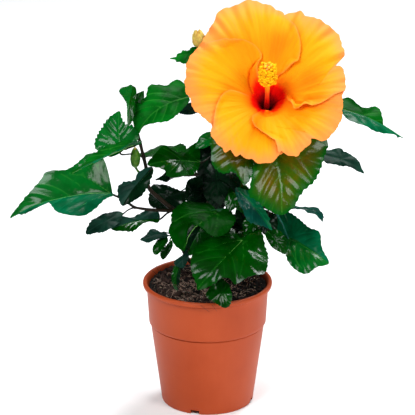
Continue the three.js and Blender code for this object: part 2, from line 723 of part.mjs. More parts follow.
// Pot: one wall with a rolled rim and a band, a foot ring with notches, and a floor with drain holes
function potSolid() {
  const inner = (radius) => radius - WALL;
  const floorTop = CHANNEL_HEIGHT + WALL;
  const profile = [
    [0, 0],
    [CENTRE_DISC_RADIUS, 0],
    [CENTRE_DISC_RADIUS + 1, CHANNEL_HEIGHT],
    [FOOT_RADIUS - FOOT_RING_WIDTH - 1, CHANNEL_HEIGHT],
    [FOOT_RADIUS - FOOT_RING_WIDTH, 0],
    [FOOT_RADIUS, 0],
    [WALL_TOP_RADIUS, WALL_TOP_HEIGHT],
    [BAND_FOOT_RADIUS, BAND_FOOT_HEIGHT],
    [BAND_TOP_RADIUS, POT_HEIGHT - RIM_DEPTH],
    [RIM_RADIUS - 0.7, POT_HEIGHT - RIM_DEPTH],
    [RIM_RADIUS, POT_HEIGHT - RIM_DEPTH / 2],
    [RIM_RADIUS - 0.8, POT_HEIGHT - 0.4],
    [RIM_RADIUS - 2, POT_HEIGHT],
    [inner(RIM_RADIUS) - 2.4, POT_HEIGHT - 0.8],
    [inner(BAND_TOP_RADIUS), POT_HEIGHT - RIM_DEPTH - 1],
    [inner(BAND_FOOT_RADIUS), BAND_FOOT_HEIGHT],
    [inner(WALL_TOP_RADIUS), WALL_TOP_HEIGHT],
    [inner(FOOT_RADIUS) + 1, floorTop],
    [0, floorTop],
  ].map(([radius, height]) => new THREE.Vector2(radius, height));
  let pot = toSolid(new THREE.LatheGeometry(profile, POT_SEGMENTS).rotateX(Math.PI / 2));
  for (let i = 0; i < NOTCHES; i++) {
    const turn = radians(NOTCH_TURN + (360 / NOTCHES) * i);
    const notch = new THREE.BoxGeometry(12, NOTCH_WIDTH, 2 * NOTCH_HEIGHT);
    notch.translate(FOOT_RADIUS, 0, 0).rotateZ(turn);
    const drain = new THREE.CylinderGeometry(DRAIN_RADIUS, DRAIN_RADIUS, 6, 10).rotateX(Math.PI / 2);
    drain.translate((CENTRE_DISC_RADIUS + FOOT_RADIUS - FOOT_RING_WIDTH) / 2, 0, floorTop - 0.8);
    drain.rotateZ(turn + Math.PI / NOTCHES);
    pot = pot.subtract(toSolid(notch)).subtract(toSolid(drain));
  }
  return pot;
}

// Potting mix: fills the pot, rough on top, flat where the trunk stands
function soilSolid() {
  const clear = WALL + GAP / Math.cos(Math.PI / POT_SEGMENTS);
  const bottom = CHANNEL_HEIGHT + WALL + GAP;
  const bandTop = POT_HEIGHT - RIM_DEPTH - 1;
  const up = (SOIL_HEIGHT - BAND_FOOT_HEIGHT) / (bandTop - BAND_FOOT_HEIGHT);
  const edge = THREE.MathUtils.lerp(BAND_FOOT_RADIUS, BAND_TOP_RADIUS, up) - clear;
  const profile = [
    [0, bottom],
    [FOOT_RADIUS - clear + 0.8, bottom],
    [WALL_TOP_RADIUS - clear, WALL_TOP_HEIGHT],
    [BAND_FOOT_RADIUS - clear, BAND_FOOT_HEIGHT],
    [edge - 0.4, SOIL_HEIGHT - 3],
    [50, SOIL_HEIGHT],
    [41, SOIL_HEIGHT],
    [32, SOIL_HEIGHT],
    [24, SOIL_HEIGHT],
    [SOIL_FLAT_RADIUS, SOIL_HEIGHT],
    [0, SOIL_HEIGHT],
  ].map(([radius, height]) => new THREE.Vector2(radius, height));
  const geometry = new THREE.LatheGeometry(profile, POT_SEGMENTS).rotateX(Math.PI / 2);
  const spots = geometry.attributes.position;
  for (let i = 0; i < spots.count; i++) {
    const [x, y, z] = [spots.getX(i), spots.getY(i), spots.getZ(i)];
    const radius = Math.hypot(x, y);
    if (z < SOIL_HEIGHT - 1 || radius < SOIL_FLAT_RADIUS + 1) continue;
    const lumps = Math.sin(0.31 * x + 1.3) * Math.cos(0.27 * y) + 0.7 * Math.sin(0.63 * x + 0.41 * y);
    spots.setZ(i, z + SOIL_RELIEF * lumps * 0.6 - 0.8 * ((radius - SOIL_FLAT_RADIUS) / 40));
  }
  return toSolid(geometry);
}

place("pot", potSolid(), "pot");
place("potting_mix", soilSolid(), "soil");
place("trunk", limbSolid(trunk), "bark");

const limbs = { trunk, bloom_stalk: bloomStalk, ...boughs, ...masses };
const boughNames = Object.keys(boughs);
boughNames.forEach((name, i) => {
  const earlier = boughNames.slice(0, i).map((other) => boughs[other]);
  place(name, seat(limbSolid(boughs[name]), [trunk, ...earlier]), "bark");
});

const shown = Object.fromEntries(
  Object.entries(masses).map(([name, mass]) => [name, mass.leaves.map(shownLeaf)]),
);
const leafPoints = [...Object.values(shown).flat().flatMap(leafSamples), ...bloomSamples()];
const limbPoints = Object.values(limbs).flatMap(limbSamples);

for (const [name, mass] of Object.entries(masses)) {
  const leaves = [...shown[name], ...(mass.grown ? grownLeaves(mass, leafPoints, limbPoints) : [])];
  const parts = [limbSolid({ ...mass, stepsPerPoint: 1 })];
  for (const leaf of leaves) parts.push(limbSolid(petioleLimb(leaf, mass)), leafSolid(leaf));
  for (const [base, tip, radius] of mass.buds ?? []) {
    const lead = { points: [mass.points[2], base], radii: [1.2, 1.2], sides: 3, stepsPerPoint: 1 };
    parts.push(budSolid(base, tip, radius), limbSolid(lead));
  }
  place(name, seat(fuse(parts), mass.carriers.map((carrier) => limbs[carrier])), "leaf");
}

place("bloom_stalk", seat(fuse([limbSolid(bloomStalk), calyxSolid()]), [boughs.bough_flowering]), "calyx");
for (const petal of PETALS) place(petal.name, petalSolid(petal), "petal");
place("stamen_column", columnSolid(), "column");

export default plant;
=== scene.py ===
"""A potted hibiscus with one open flower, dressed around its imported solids. Sizes are in millimetres."""

import bisect
import itertools
import math

import bmesh
import bpy
import numpy as np
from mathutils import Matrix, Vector, noise


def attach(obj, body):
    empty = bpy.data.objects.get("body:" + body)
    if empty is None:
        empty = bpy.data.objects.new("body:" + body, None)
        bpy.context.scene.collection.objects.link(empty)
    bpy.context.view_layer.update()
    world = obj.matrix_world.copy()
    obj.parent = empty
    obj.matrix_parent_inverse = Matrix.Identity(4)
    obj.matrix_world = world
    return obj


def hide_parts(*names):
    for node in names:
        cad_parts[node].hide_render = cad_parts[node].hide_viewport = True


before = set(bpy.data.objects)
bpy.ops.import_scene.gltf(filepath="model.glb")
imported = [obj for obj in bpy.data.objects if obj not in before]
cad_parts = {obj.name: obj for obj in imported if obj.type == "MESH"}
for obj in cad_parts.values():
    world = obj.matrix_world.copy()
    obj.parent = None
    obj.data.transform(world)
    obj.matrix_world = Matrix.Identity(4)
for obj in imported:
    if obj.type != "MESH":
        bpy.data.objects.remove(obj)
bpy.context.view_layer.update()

MM = 0.001
BODY = "root"
UP = np.array([0.0, 0.0, 1.0])

# Pot and potting mix
POT_HEIGHT = 128
RIM_RADIUS = 65
RIM_DEPTH = 5
BAND_TOP_RADIUS = 61.2
BAND_FOOT_RADIUS = 58.9
BAND_FOOT_HEIGHT = 85.2
WALL_TOP_RADIUS = 57.1
WALL_TOP_HEIGHT = 81.9
FOOT_RADIUS = 46.2
WALL = 1.6
FOOT_RING_WIDTH = 3.2
CENTRE_DISC_RADIUS = 30
CHANNEL_HEIGHT = 5
FLOOR_TOP = CHANNEL_HEIGHT + WALL
NOTCHES = 4
NOTCH_WIDTH = 9
NOTCH_HEIGHT = 4.5
NOTCH_TURN = -106
POT_SIDES = 160
DRAIN_RADIUS = 3.5
SOIL_HEIGHT = 120.5
SOIL_RADIUS = 58.6
SOIL_CRUMBS = 3000
SOIL_FIBRES = 900
SOIL_CLUMPS = 90
# Loose strands that stand clear of the potting mix, hang over the rim or lie on the pot's band
STRANDS = [
    [[-36, -40, 140], [-29, -52, 141], [-18, -61, 129]],
    [[-47, 20, 124], [-50, 19, 131], [-52, 18, 137]],
    [[-46, 20, 124], [-47, 18, 132], [-44, 18, 136]],
    [[-49, 18, 124], [-54, 18, 129], [-56, 18, 131]],
    [[54, 28, 125], [63, 29, 128], [70, 30, 125]],
    [[53, 30, 125], [62, 31, 129], [66, 33, 131]],
    [[55, 26, 125], [64, 27, 125], [71, 27, 121]],
    [[-9, -58, 124], [-6, -65.6, 126], [2, -66.3, 120]],
    [[2, -58, 125], [5, -65.8, 126.5], [9, -66.2, 121]],
]

# Leaves: the half-width follows s^rise * (1 - s)^fall from the blade's base to its tip
LEAF_RISE = 0.6
LEAF_FALL = 1.05
LEAF_ARCH = 0.12
LEAF_HEART = 0.12
LEAF_THICKNESS = 0.55
SPINE_STEPS = 24
PETIOLE_RADII = [1.25, 1.05, 1.0, 0.75]
PETIOLE_ARCH = 0.06
MIDRIB_END = 0.16
OUTLINE_STEP = 1.3
TOOTH_LENGTH = 6.5
TOOTH_PEAK = 0.78
VEIN_PULL = 4.4

# Flower
BLOOM = np.array([58.0, -4.0, 312.0])
BLOOM_RISE = 40
THROAT_RADIUS = 4.5
FUNNEL_DEPTH = 37
FUNNEL_WIDTH = 21
PETAL_LIFT = 1.25
CLAW_RADIUS = 2.6
THROAT_DEPTH = 7
PETAL_THICKNESS = 0.5
RUFFLE = 3.4
SHOWN_RUFFLE = 1.7
RIM_ROLL = 6
RIM_ROLL_START = 56
FLOWER_RADIUS = 84
CALYX_TOP = -1.2
GAP = 0.3
COLUMN_LENGTH = 58
COLUMN_LIFT = 0.3
COLUMN_ROOT = 11
ANTHERS = 300
ANTHER_TURN = 2.4


def unit(vectors):
    """The vectors at length 1."""
    return vectors / np.maximum(np.linalg.norm(vectors, axis=-1, keepdims=True), 1e-12)


def toward(turn):
    """A step of length 1 in a plane, at an angle in radians."""
    return np.array([math.cos(turn), math.sin(turn)])


def circle(sides):
    """Angles at even steps once round."""
    return np.linspace(0, 2 * math.pi, sides, endpoint=False)


def ring(centre, radius, turns, across, third):
    """Points round a centre, in the plane of the directions across and third."""
    return centre + np.outer(radius * np.cos(turns), across) + np.outer(radius * np.sin(turns), third)


def hump(value, centre, width):
    """A bell of height 1 at the centre."""
    return np.exp(-(((value - centre) / width) ** 2))


def heading(turn, rise):
    """A unit vector from a compass turn about +Z and a rise above the horizontal, in degrees."""
    turn, rise = math.radians(turn), math.radians(rise)
    return np.array([math.cos(turn) * math.cos(rise), math.sin(turn) * math.cos(rise), math.sin(rise)])


def seeded(seed):
    """The source's small random source, so that the same seed grows the same leaves."""
    word = 0xFFFFFFFF
    state = seed & word

    def draw():
        nonlocal state
        state = (state + 0x6D2B79F5) & word
        mixed = ((state ^ (state >> 15)) * (1 | state)) & word
        mixed = ((mixed + (((mixed ^ (mixed >> 7)) * (61 | mixed)) & word)) ^ mixed) & word
        return ((mixed ^ (mixed >> 14)) & word) / (word + 1)

    return draw


def smooth(low, high, value):
    """0 below low, 1 above high, and an S curve between them."""
    share = np.clip((value - low) / (high - low), 0, 1)
    return share * share * (3 - 2 * share)


def waves(x, y, z, seed, octaves=3):
    """Smooth, seeded undulation of about -1 to 1 for arrays of coordinates."""
    draw = seeded(seed)
    total = 0
    for octave in range(octaves):
        scale = 1.9**octave
        for _ in range(3):
            a, b, c = (2 * draw() - 1 for _ in range(3))
            total = total + np.sin(scale * (a * x + b * y + c * z) + 6.28 * draw()) / (3 * scale**0.7)
    return total


# Meshes
class Shell:
    """Points and faces of one piece, gathered part by part, with the slot of each face.

    Its layers are values of the points: the places on its map as uv, and what its material reads.
    """

    def __init__(self):
        self.points = []
        self.faces = []
        self.slots = []
        self.layers = {}
        self.count = 0

    def add(self, points, faces, slot, **layers):
        """Adds points, and faces that number them from 0."""
        points = np.reshape(points, (-1, 3))
        self.points.append(points)
        self.faces.append(faces + self.count)
        self.slots.append(np.broadcast_to(slot, len(faces)))
        for name, values in layers.items():
            self.layers.setdefault(name, []).append(values.reshape(len(points), -1))
        self.count += len(points)

    def grid(self, points, slot=0, wrap=False, flip=False, **layers):
        """A sheet over rows of points. wrap joins the last column to the first. slot may vary by column."""
        rows, columns = points.shape[:2]
        index = np.arange(rows * columns).reshape(rows, columns)
        if wrap:
            index = np.hstack([index, index[:, :1]])
        faces = np.stack([index[:-1, :-1], index[:-1, 1:], index[1:, 1:], index[1:, :-1]], -1)
        slots = np.broadcast_to(slot, faces.shape[:2]).ravel()
        faces = faces.reshape(-1, 4)
        self.add(points, faces[:, ::-1] if flip else faces, slots, **layers)

    def tube(self, rings, slot=0):
        """A tube over rings of points, with a pointed cap on each end."""
        start, end = (np.repeat(end.mean(0)[None, None], rings.shape[1], 1) for end in rings[[0, -1]])
        self.grid(np.concatenate([start, rings, end]), slot, wrap=True)


def add_object(name, data):
    made = bpy.data.objects.new(name, data)
    bpy.context.scene.collection.objects.link(made)
    return made


def make_piece(name, shell, materials, replaces=(), sharp=50):
    """A mesh object from a shell, riding on the plant's one body. sharp is the angle of its sharp edges."""
    faces = np.concatenate(shell.faces)
    mesh = bpy.data.meshes.new(name)
    mesh.vertices.add(shell.count)
    mesh.vertices.foreach_set("co", np.concatenate(shell.points).ravel() * MM)
    mesh.loops.add(faces.size)
    mesh.loops.foreach_set("vertex_index", faces.ravel())
    mesh.polygons.add(len(faces))
    mesh.polygons.foreach_set("loop_start", np.arange(0, faces.size, faces.shape[1]))
    mesh.polygons.foreach_set("material_index", np.concatenate(shell.slots))
    mesh.polygons.foreach_set("use_smooth", np.ones(len(faces), bool))
    mesh.update(calc_edges=True)
    for label, values in shell.layers.items():
        values = np.concatenate(values)
        if label == "uv":
            mesh.uv_layers.new(name="OFBake").data.foreach_set("uv", values[faces.ravel()].ravel())
        else:
            mesh.attributes.new(label, "FLOAT_VECTOR", "POINT").data.foreach_set("vector", values.ravel())
    for material in materials:
        mesh.materials.append(material)
    join_doubles(mesh)
    mesh.set_sharp_from_angle(angle=math.radians(sharp))
    made = add_object(name, mesh)
    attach(made, BODY)
    if replaces:
        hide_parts(*replaces)
    return made


def join_doubles(mesh):
    """Merges the points that fall together, which closes the caps and the seams."""
    work = bmesh.new()
    work.from_mesh(mesh)
    bmesh.ops.remove_doubles(work, verts=work.verts, dist=1e-6)
    bmesh.ops.dissolve_degenerate(work, edges=work.edges, dist=1e-7)
    work.to_mesh(mesh)
    work.free()


# Materials
def srgb(red, green, blue):
    """A linear colour from 8-bit screen values."""
    linear = [((c / 255 + 0.055) / 1.055) ** 2.4 if c > 10 else c / 255 / 12.92 for c in (red, green, blue)]
    return (*linear, 1)


class Nodes:
    """Shorthand for building one material's node tree."""

    def __init__(self, name, roughness, specular=0.5):
        self.material = bpy.data.materials.new(name)
        self.material.use_nodes = True
        self.tree = self.material.node_tree
        self.surface = self.tree.nodes["Principled BSDF"].inputs
        self.surface["Roughness"].default_value = roughness
        self.surface["Specular IOR Level"].default_value = specular

    def feed(self, socket, value):
        """Sets a socket, or links it when the value is the output of another node."""
        if hasattr(value, "is_linked"):
            self.tree.links.new(value, socket)
        else:
            socket.default_value = value

    def node(self, kind, inputs, **settings):
        """The outputs of a new node."""
        made = self.tree.nodes.new("ShaderNode" + kind)
        for setting, value in settings.items():
            setattr(made, setting, value)
        for socket, value in inputs.items():
            self.feed(made.inputs[socket], value)
        return made.outputs

    def attribute(self, name):
        return self.node("Attribute", {}, attribute_name=name)["Vector"]

    def split(self, vector):
        return self.node("SeparateXYZ", {"Vector": vector})

    def place(self, stretch=(1, 1, 1)):
        """The place in the object in metres, times stretch."""
        coordinates = self.node("TexCoord", {})["Object"]
        return self.node("Mapping", {"Scale": stretch, "Vector": coordinates})["Vector"]

    def noise(self, scale, detail=4, rough=0.55, vector=None, distortion=0):
        inputs = {"Scale": scale, "Detail": detail, "Roughness": rough, "Distortion": distortion}
        return self.node("TexNoise", {**inputs, "Vector": vector or self.place()})["Fac"]

    def rescale(self, value, low, high, to_low, to_high):
        inputs = {"Value": value, "From Min": low, "From Max": high, "To Min": to_low, "To Max": to_high}
        return self.node("MapRange", inputs)["Result"]

    def ramp(self, factor, stops):
        """The colour at a factor among stops of (position, colour)."""
        made = self.tree.nodes.new("ShaderNodeValToRGB")
        elements = made.color_ramp.elements
        while len(elements) < len(stops):
            elements.new(0.5)
        for element, (position, colour) in zip(elements, stops):
            element.position = position
            element.color = colour
        self.feed(made.inputs["Fac"], factor)
        return made.outputs["Color"]

    def tint(self, factor, *stops):
        """A ramp of (position, red, green, blue) stops, in 8-bit screen values."""
        return self.ramp(factor, [(position, srgb(*colour)) for position, *colour in stops])

    def fade(self, factor, start, end, low=0.0, high=1.0):
        """A grey ramp from low at the start to high at the end."""
        return self.ramp(factor, [(start, (low, low, low, 1)), (end, (high, high, high, 1))])

    def mix(self, factor, first, second):
        """Two colours mixed. The inputs of this node go by number."""
        return self.node("Mix", {0: factor, 6: first, 7: second}, data_type="RGBA")[2]

    def colour(self, socket):
        self.feed(self.surface["Base Color"], socket)

    def bump(self, height, strength, distance):
        """Fine relief, with its distance in millimetres."""
        inputs = {"Strength": strength, "Distance": distance * MM, "Height": height}
        self.feed(self.surface["Normal"], self.node("Bump", inputs)["Normal"])


def leaf_material(name, shaded, lit, vein, roughness=0.15, specular=0.19, margin=None, patches=55):
    """A living leaf: two greens in soft patches, paler along its veins, with a fine pebbled grain."""
    nodes = Nodes(name, roughness, specular)
    from_vein, to_margin, _ = nodes.split(nodes.attribute("tone"))
    body = nodes.tint(nodes.noise(patches, 3), (0.35, *shaded), (0.65, *lit))
    if margin:
        body = nodes.mix(nodes.fade(to_margin, 0.5, 0.95), body, srgb(*margin))
    nodes.colour(nodes.mix(nodes.fade(from_vein, 0.0, 0.14, 0.45, 0.0), body, srgb(*vein)))
    nodes.bump(nodes.noise(620, 3), 0.35, 0.35)
    return nodes.material


def plain_material(name, dark, light, roughness, specular=0.5, grain=300, relief=0.1):
    """Two close tones mixed by noise, with a little relief of the same grain."""
    nodes = Nodes(name, roughness, specular)
    factor = nodes.noise(grain, 3)
    nodes.colour(nodes.tint(factor, (0.3, *dark), (0.7, *light)))
    nodes.bump(factor, 0.3, relief)
    return nodes.material


# Each leaf colour: shaded green, lit green and veins, and where they aren't as usual the roughness, the
# specular, the margin and the scale of the patches
LEAF_COLOURS = {
    "bright": [(0, 74, 18), (2, 96, 28), (44, 132, 44)],
    "deep": [(0, 46, 0), (0, 66, 3), (24, 100, 20)],
    "fresh": [(0, 66, 8), (2, 96, 18), (56, 140, 48), 0.4, 0.02],
    "satin": [(0, 40, 0), (0, 62, 3), (40, 112, 30), 0.36, 0.015],
    # blue-green: the leaves' own green with painted sky reflection from their gloss
    "teal": [(0, 76, 42), (1, 98, 60), (16, 124, 80), 0.26, 0.06],
    # near black: painted shadow for blades deep inside the plant, where little light reaches
    "shade": [(0, 14, 5), (2, 32, 12), (10, 44, 20), 0.24, 0.09],
    "bronze": [(92, 76, 0), (36, 82, 2), (60, 124, 24), 0.15, 0.19, (4, 78, 10), 60],
    # blue-grey: dark green with painted bluish glare of the sky on the glossy blade
    "slate": [(2, 58, 46), (12, 82, 68), (36, 104, 90), 0.24, 0.1],
    "grey": [(8, 40, 30), (22, 64, 50), (44, 84, 70), 0.42, 0.06],
    "underside": [(18, 72, 40), (30, 90, 52), (60, 120, 66), 0.5, 0.2],
}
LEAF_TINTS = {name: leaf_material("leaf_" + name, *looks) for name, looks in LEAF_COLOURS.items()}
VEIN_PALE = plain_material("leaf_vein_pale", (80, 146, 56), (118, 176, 82), 0.4, 0.2)
VEIN_GREEN = plain_material("leaf_vein_green", (16, 78, 16), (34, 100, 30), 0.4, 0.2)
STALK = plain_material("leaf_stalk", (10, 20, 10), (32, 28, 16), 0.4, 0.12)
SHOOT = plain_material("young_shoot", (16, 18, 8), (44, 32, 20), 0.5, 0.12)
CALYX = plain_material("flower_calyx", (34, 96, 8), (92, 138, 26), 0.45, 0.3)


def bark_material():
    nodes = Nodes("bark", 0.85, 0.1)
    along = nodes.noise(150, 6, 0.65, nodes.place((1, 1, 0.25)))
    nodes.colour(nodes.tint(along, (0.25, 9, 6, 3), (0.5, 26, 18, 10), (0.8, 60, 44, 28)))
    nodes.bump(along, 0.8, 0.8)
    return nodes.material


# Limbs
class Limb:
    """A tapering limb through a few points, with one radius for each point."""

    def __init__(self, points, radii):
        self.points = [np.array(point, float) for point in points]
        self.radii = radii

    def at(self, u):
        """The point at u from 0 to 1, on a centripetal Catmull-Rom curve."""
        points, last = self.points, len(self.points) - 1
        i = min(int(last * u), last - 1)
        w = last * u - i
        p1, p2 = points[i], points[i + 1]
        p0 = points[i - 1] if i > 0 else 2 * p1 - p2
        p3 = points[i + 2] if i + 2 <= last else 2 * p2 - p1
        d0, d1, d2 = (math.sqrt(np.linalg.norm(b - a)) for a, b in ((p0, p1), (p1, p2), (p2, p3)))
        t1 = ((p1 - p0) / d0 - (p2 - p0) / (d0 + d1) + (p2 - p1) / d1) * d1
        t2 = ((p2 - p1) / d1 - (p3 - p1) / (d1 + d2) + (p3 - p2) / d2) * d1
        return p1 + w * t1 + w * w * (-3 * p1 + 3 * p2 - 2 * t1 - t2) + w**3 * (2 * p1 - 2 * p2 + t1 + t2)

    def tangent(self, u):
        return unit(self.at(min(1, u + 1e-4)) - self.at(max(0, u - 1e-4)))

    def radius(self, u):
        return np.interp(u * (len(self.radii) - 1), range(len(self.radii)), self.radii)

    def length(self):
        path = [self.at(u) for u in np.linspace(0, 1, 20)]
        return sum(np.linalg.norm(b - a) for a, b in zip(path, path[1:]))

    def rings(self, steps, sides, swell=lambda u: 0, relief=lambda u, turns: 0 * turns):
        """Rings of points. swell and relief return what is added to the radius."""
        across = np.array([1, 0.2, 0.1])
        turns = circle(sides)
        rings = []
        for u in np.linspace(0, 1, steps + 1):
            along = self.tangent(u)
            across = unit(across - along * (across @ along))
            radius = self.radius(u) + swell(u) + relief(u, turns)
            rings.append(ring(self.at(u), radius, turns, across, np.cross(along, across)))
        return np.array(rings)


def bump_at(places, width, height):
    """Smooth swellings of a limb at the given shares of its length."""
    return lambda u: sum(height * hump(u, place, width) for place in places)


TRUNK = Limb([[4, 4, SOIL_HEIGHT], [4, 4, 126.5], [5, 4, 140], [7, 3, 166]], [9.5, 6.4, 5.3, 4.4])
BOUGHS = {
    "bough_left": Limb([[6, 4, 154], [-6, -1, 168], [-21, -5, 184], [-33, -8, 205]], [3.4, 3.2, 2.9, 2.5]),
    "bough_middle": Limb([[7, 3, 161], [9, 12, 187], [13, 18, 217], [15, 19, 250]], [3.3, 3.1, 2.8, 2.3]),
    "bough_flowering": Limb([[7, 3, 163], [17, 7, 190], [30, 10, 225], [44, 12, 258]], [3.4, 3.2, 2.9, 2.4]),
    "bough_right": Limb([[7, 3, 157], [20, -7, 176], [33, -13, 198], [47, -14, 214]], [3.2, 3, 2.7, 2.3]),
    "bough_back": Limb([[6, 4, 152], [8, 20, 170], [8, 38, 194], [4, 50, 224]], [3.3, 3.1, 2.7, 2.3]),
    "bough_right_back": Limb([[6, 4, 158], [26, 18, 176], [48, 30, 200], [64, 38, 226]], [3.2, 3, 2.6, 2.2]),
}
BLOOM_STALK = Limb(
    [[44, 12, 258], [51, 18, 274], [57, 19, 291], [58, 8.6, 301.4], [58, 2.5, 306.5]],
    [2.1, 1.8, 1.8, 2.2, 2.8],
)


# Leaves
def outline_power(s):
    """The shape of the source's outline, before it is scaled to the blade's width."""
    return s**LEAF_RISE * (1 - s) ** LEAF_FALL


LEAF_PEAK = outline_power(LEAF_RISE / (LEAF_RISE + LEAF_FALL))


class Leaf:
    """One leaf blade: the source's middle surface, cut to its own outline, quilted between its veins.

    Its turn and rise are those of its upper face, and its tints those of its two halves; where the halves of
    a folded blade differ, the difference is painted light, shadow and sky reflection. A place is (x, y) in
    millimetres, with x from the blade's base to its tip and y across it. An edge is a list of places round
    the outline, from the base along one side to the tip and back along the other. heart is the place round
    which the outline lies, and raised is the place, the spread and the height of a swelling.
    """

    # the seeds of the shown leaves, in the order in which they are listed
    numbers = itertools.count(1)

    def __init__(self, base, tip, width, turn, rise, fold, droop, tints, wave=1.0, quilt=1.0, teeth=1.0,
                 edge=None, heart=None, raised=None, green_stalk=False, seed=None):
        self.base = np.array(base, float)
        self.width = width
        self.fold = math.radians(fold)
        self.bend = math.radians(droop)
        self.tints = tints.split()
        self.wave = wave
        self.quilt = quilt
        self.raised = raised
        self.green_stalk = green_stalk
        self.seed = seed or next(Leaf.numbers)
        self.draw = seeded(self.seed * 31)
        chord = tip - self.base
        self.reach = float(np.linalg.norm(chord))
        self.along = chord / self.reach
        face = heading(turn, rise)
        self.up = unit(face - self.along * (face @ self.along))
        self.side = np.cross(self.up, self.along)
        slopes = self.bend * (1 / 3 - ((np.arange(SPINE_STEPS) + 0.5) / SPINE_STEPS) ** 2)
        self.spine = [np.concatenate([[0], np.cumsum(steps)]) for steps in (np.cos(slopes), np.sin(slopes))]
        self.pitch = math.atan2(self.spine[1][-1], self.spine[0][-1])
        self.span = math.hypot(self.spine[0][-1], self.spine[1][-1])
        self.set_outline(edge, heart, teeth)
        self.veins = self.lay_veins()
        self.vein_starts = np.concatenate([line[:-1] for line, _ in self.veins])
        self.vein_steps = np.concatenate([np.diff(line, axis=0) for line, _ in self.veins])
        thinness = [0.8 * (1 - min(width, 1)) for _, width in self.veins]
        self.vein_thinness = np.repeat(thinness, [len(line) - 1 for line, _ in self.veins])

    def lie(self, s):
        """The slope, the fold and the normal of the middle surface at shares s of the blade's length."""
        slope = self.bend * (1 / 3 - s * s)
        lean = (slope - self.pitch)[..., None]
        return slope, self.fold * (1 - 0.3 * s), np.cos(lean) * self.up - np.sin(lean) * self.along

    def place(self, x, y, relief=0.0):
        """Points of the blade for places on it, raised by relief."""
        x, y, relief = np.broadcast_arrays(np.asarray(x, float), y, relief)
        at = x / self.reach * SPINE_STEPS
        inner = np.clip(at, 0, SPINE_STEPS)
        slope, fold, normal = self.lie(inner / SPINE_STEPS)
        ahead, raised = (np.interp(inner, range(SPINE_STEPS + 1), values) for values in self.spine)
        ahead = ahead + (at - inner) * np.cos(slope)
        raised = raised + (at - inner) * np.sin(slope)
        cosine, sine = toward(self.pitch) * self.reach / self.span
        arch = LEAF_ARCH * y * y / (self.width / 2)
        return (
            self.base
            + (ahead * cosine + raised * sine)[..., None] * self.along
            + (raised * cosine - ahead * sine)[..., None] * self.up
            + (y * np.cos(fold))[..., None] * self.side
            + (np.abs(y) * np.sin(fold) - arch + relief)[..., None] * normal
        )

    def half_width(self, s):
        return (self.width / 2) * outline_power(s) / LEAF_PEAK

    def samples(self):
        """The source's sample points, for keeping grown leaves apart."""
        places = itertools.product((0.05, 0.2, 0.35, 0.5, 0.65, 0.8, 0.95), (-0.9, -0.45, 0, 0.45, 0.9))
        s, t = np.array(list(places)).T
        half = self.half_width(s)
        _, fold, normal = self.lie(s)
        rise = np.abs(t) * half * np.sin(fold) - LEAF_ARCH * half * t * t
        back = LEAF_HEART * self.reach * np.abs(t) ** 1.5 * (1 - s) ** 6
        return (
            self.place(s * self.reach, 0)
            + np.outer(t * half * np.cos(fold), self.side)
            + rise[:, None] * normal
            - back[:, None] * np.cross(self.side, normal)
        )

    def set_outline(self, edge, heart, teeth):
        """The outline at even steps, its teeth, its rays from the heart, and the waves of its margin."""
        if edge:
            line = round_off(np.array(edge, float))
        else:
            s = np.sin(np.linspace(0, math.pi / 2, 30)) ** 2
            x = self.reach * (s - LEAF_HEART * (1 - s) ** 6 * (s > 0))
            half = np.stack([x, self.half_width(np.clip(s, 1e-6, 1 - 1e-6))], 1)
            line = np.concatenate([half[:-1] * (1, -1), half[:0:-1]])
        self.outline = even_steps(line, OUTLINE_STEP * max(0.55, min(1, self.reach / 50)))
        self.hub = self.outline.mean(0) if heart is None else np.array(heart, float)
        rays = self.outline - self.hub
        count = len(rays)
        tip = int(np.argmax(self.outline[:, 0]))
        number = np.arange(count)
        outbound = number <= tip
        way = np.where(outbound, number / tip, (count - number) / (count - tip))
        length = OUTLINE_STEP * np.where(outbound, tip, count - tip)
        wanted = np.maximum(4, np.round(length / (TOOTH_LENGTH * (0.5 + self.reach / 160))))
        phase = np.mod(way * wanted + 0.1 * np.sin(17 * way + self.seed), 1)
        rising, falling = (phase / TOOTH_PEAK) ** 1.3, (1 - phase) / (1 - TOOTH_PEAK)
        tooth = np.where(phase < TOOTH_PEAK, rising, falling) - 0.4
        size = 1.35 * teeth * (0.35 + self.reach / 110) * (0.8 + 0.4 * np.sin(9 * way + self.seed))
        size = size * smooth(0.1, 0.25, way) * (1 - smooth(0.9, 0.98, way))
        ahead = np.roll(self.outline, -1, 0) - np.roll(self.outline, 1, 0)
        out = unit(ahead[:, ::-1] * (1, -1))
        self.teeth = out * np.sign((rays * out).sum()) * (tooth * size)[:, None]
        angles = np.arctan2(rays[:, 1], rays[:, 0])
        order = np.argsort(angles)
        self.angles = angles[order]
        self.radii = np.linalg.norm(rays, axis=1)[order]
        self.ways = 2 * math.pi * order / count
        self.waves = [
            (cycles, 2 * math.pi * self.draw(), height * (0.6 + 0.6 * self.draw()))
            for cycles, height in ((3, 1.0), (5, 1.0), (8, 0.55), (15, 0.22))
        ]

    def lay_veins(self):
        """The midrib, the basal veins and the side veins as lines of places, each with its width."""
        end = self.outline[np.argmax(self.outline[:, 0])] * 0.97
        u = np.linspace(0, 1, 11)[:, None]
        veins = [(u * end + np.sin(math.pi * u) * (0, 0.015 * self.reach), 1.3)]
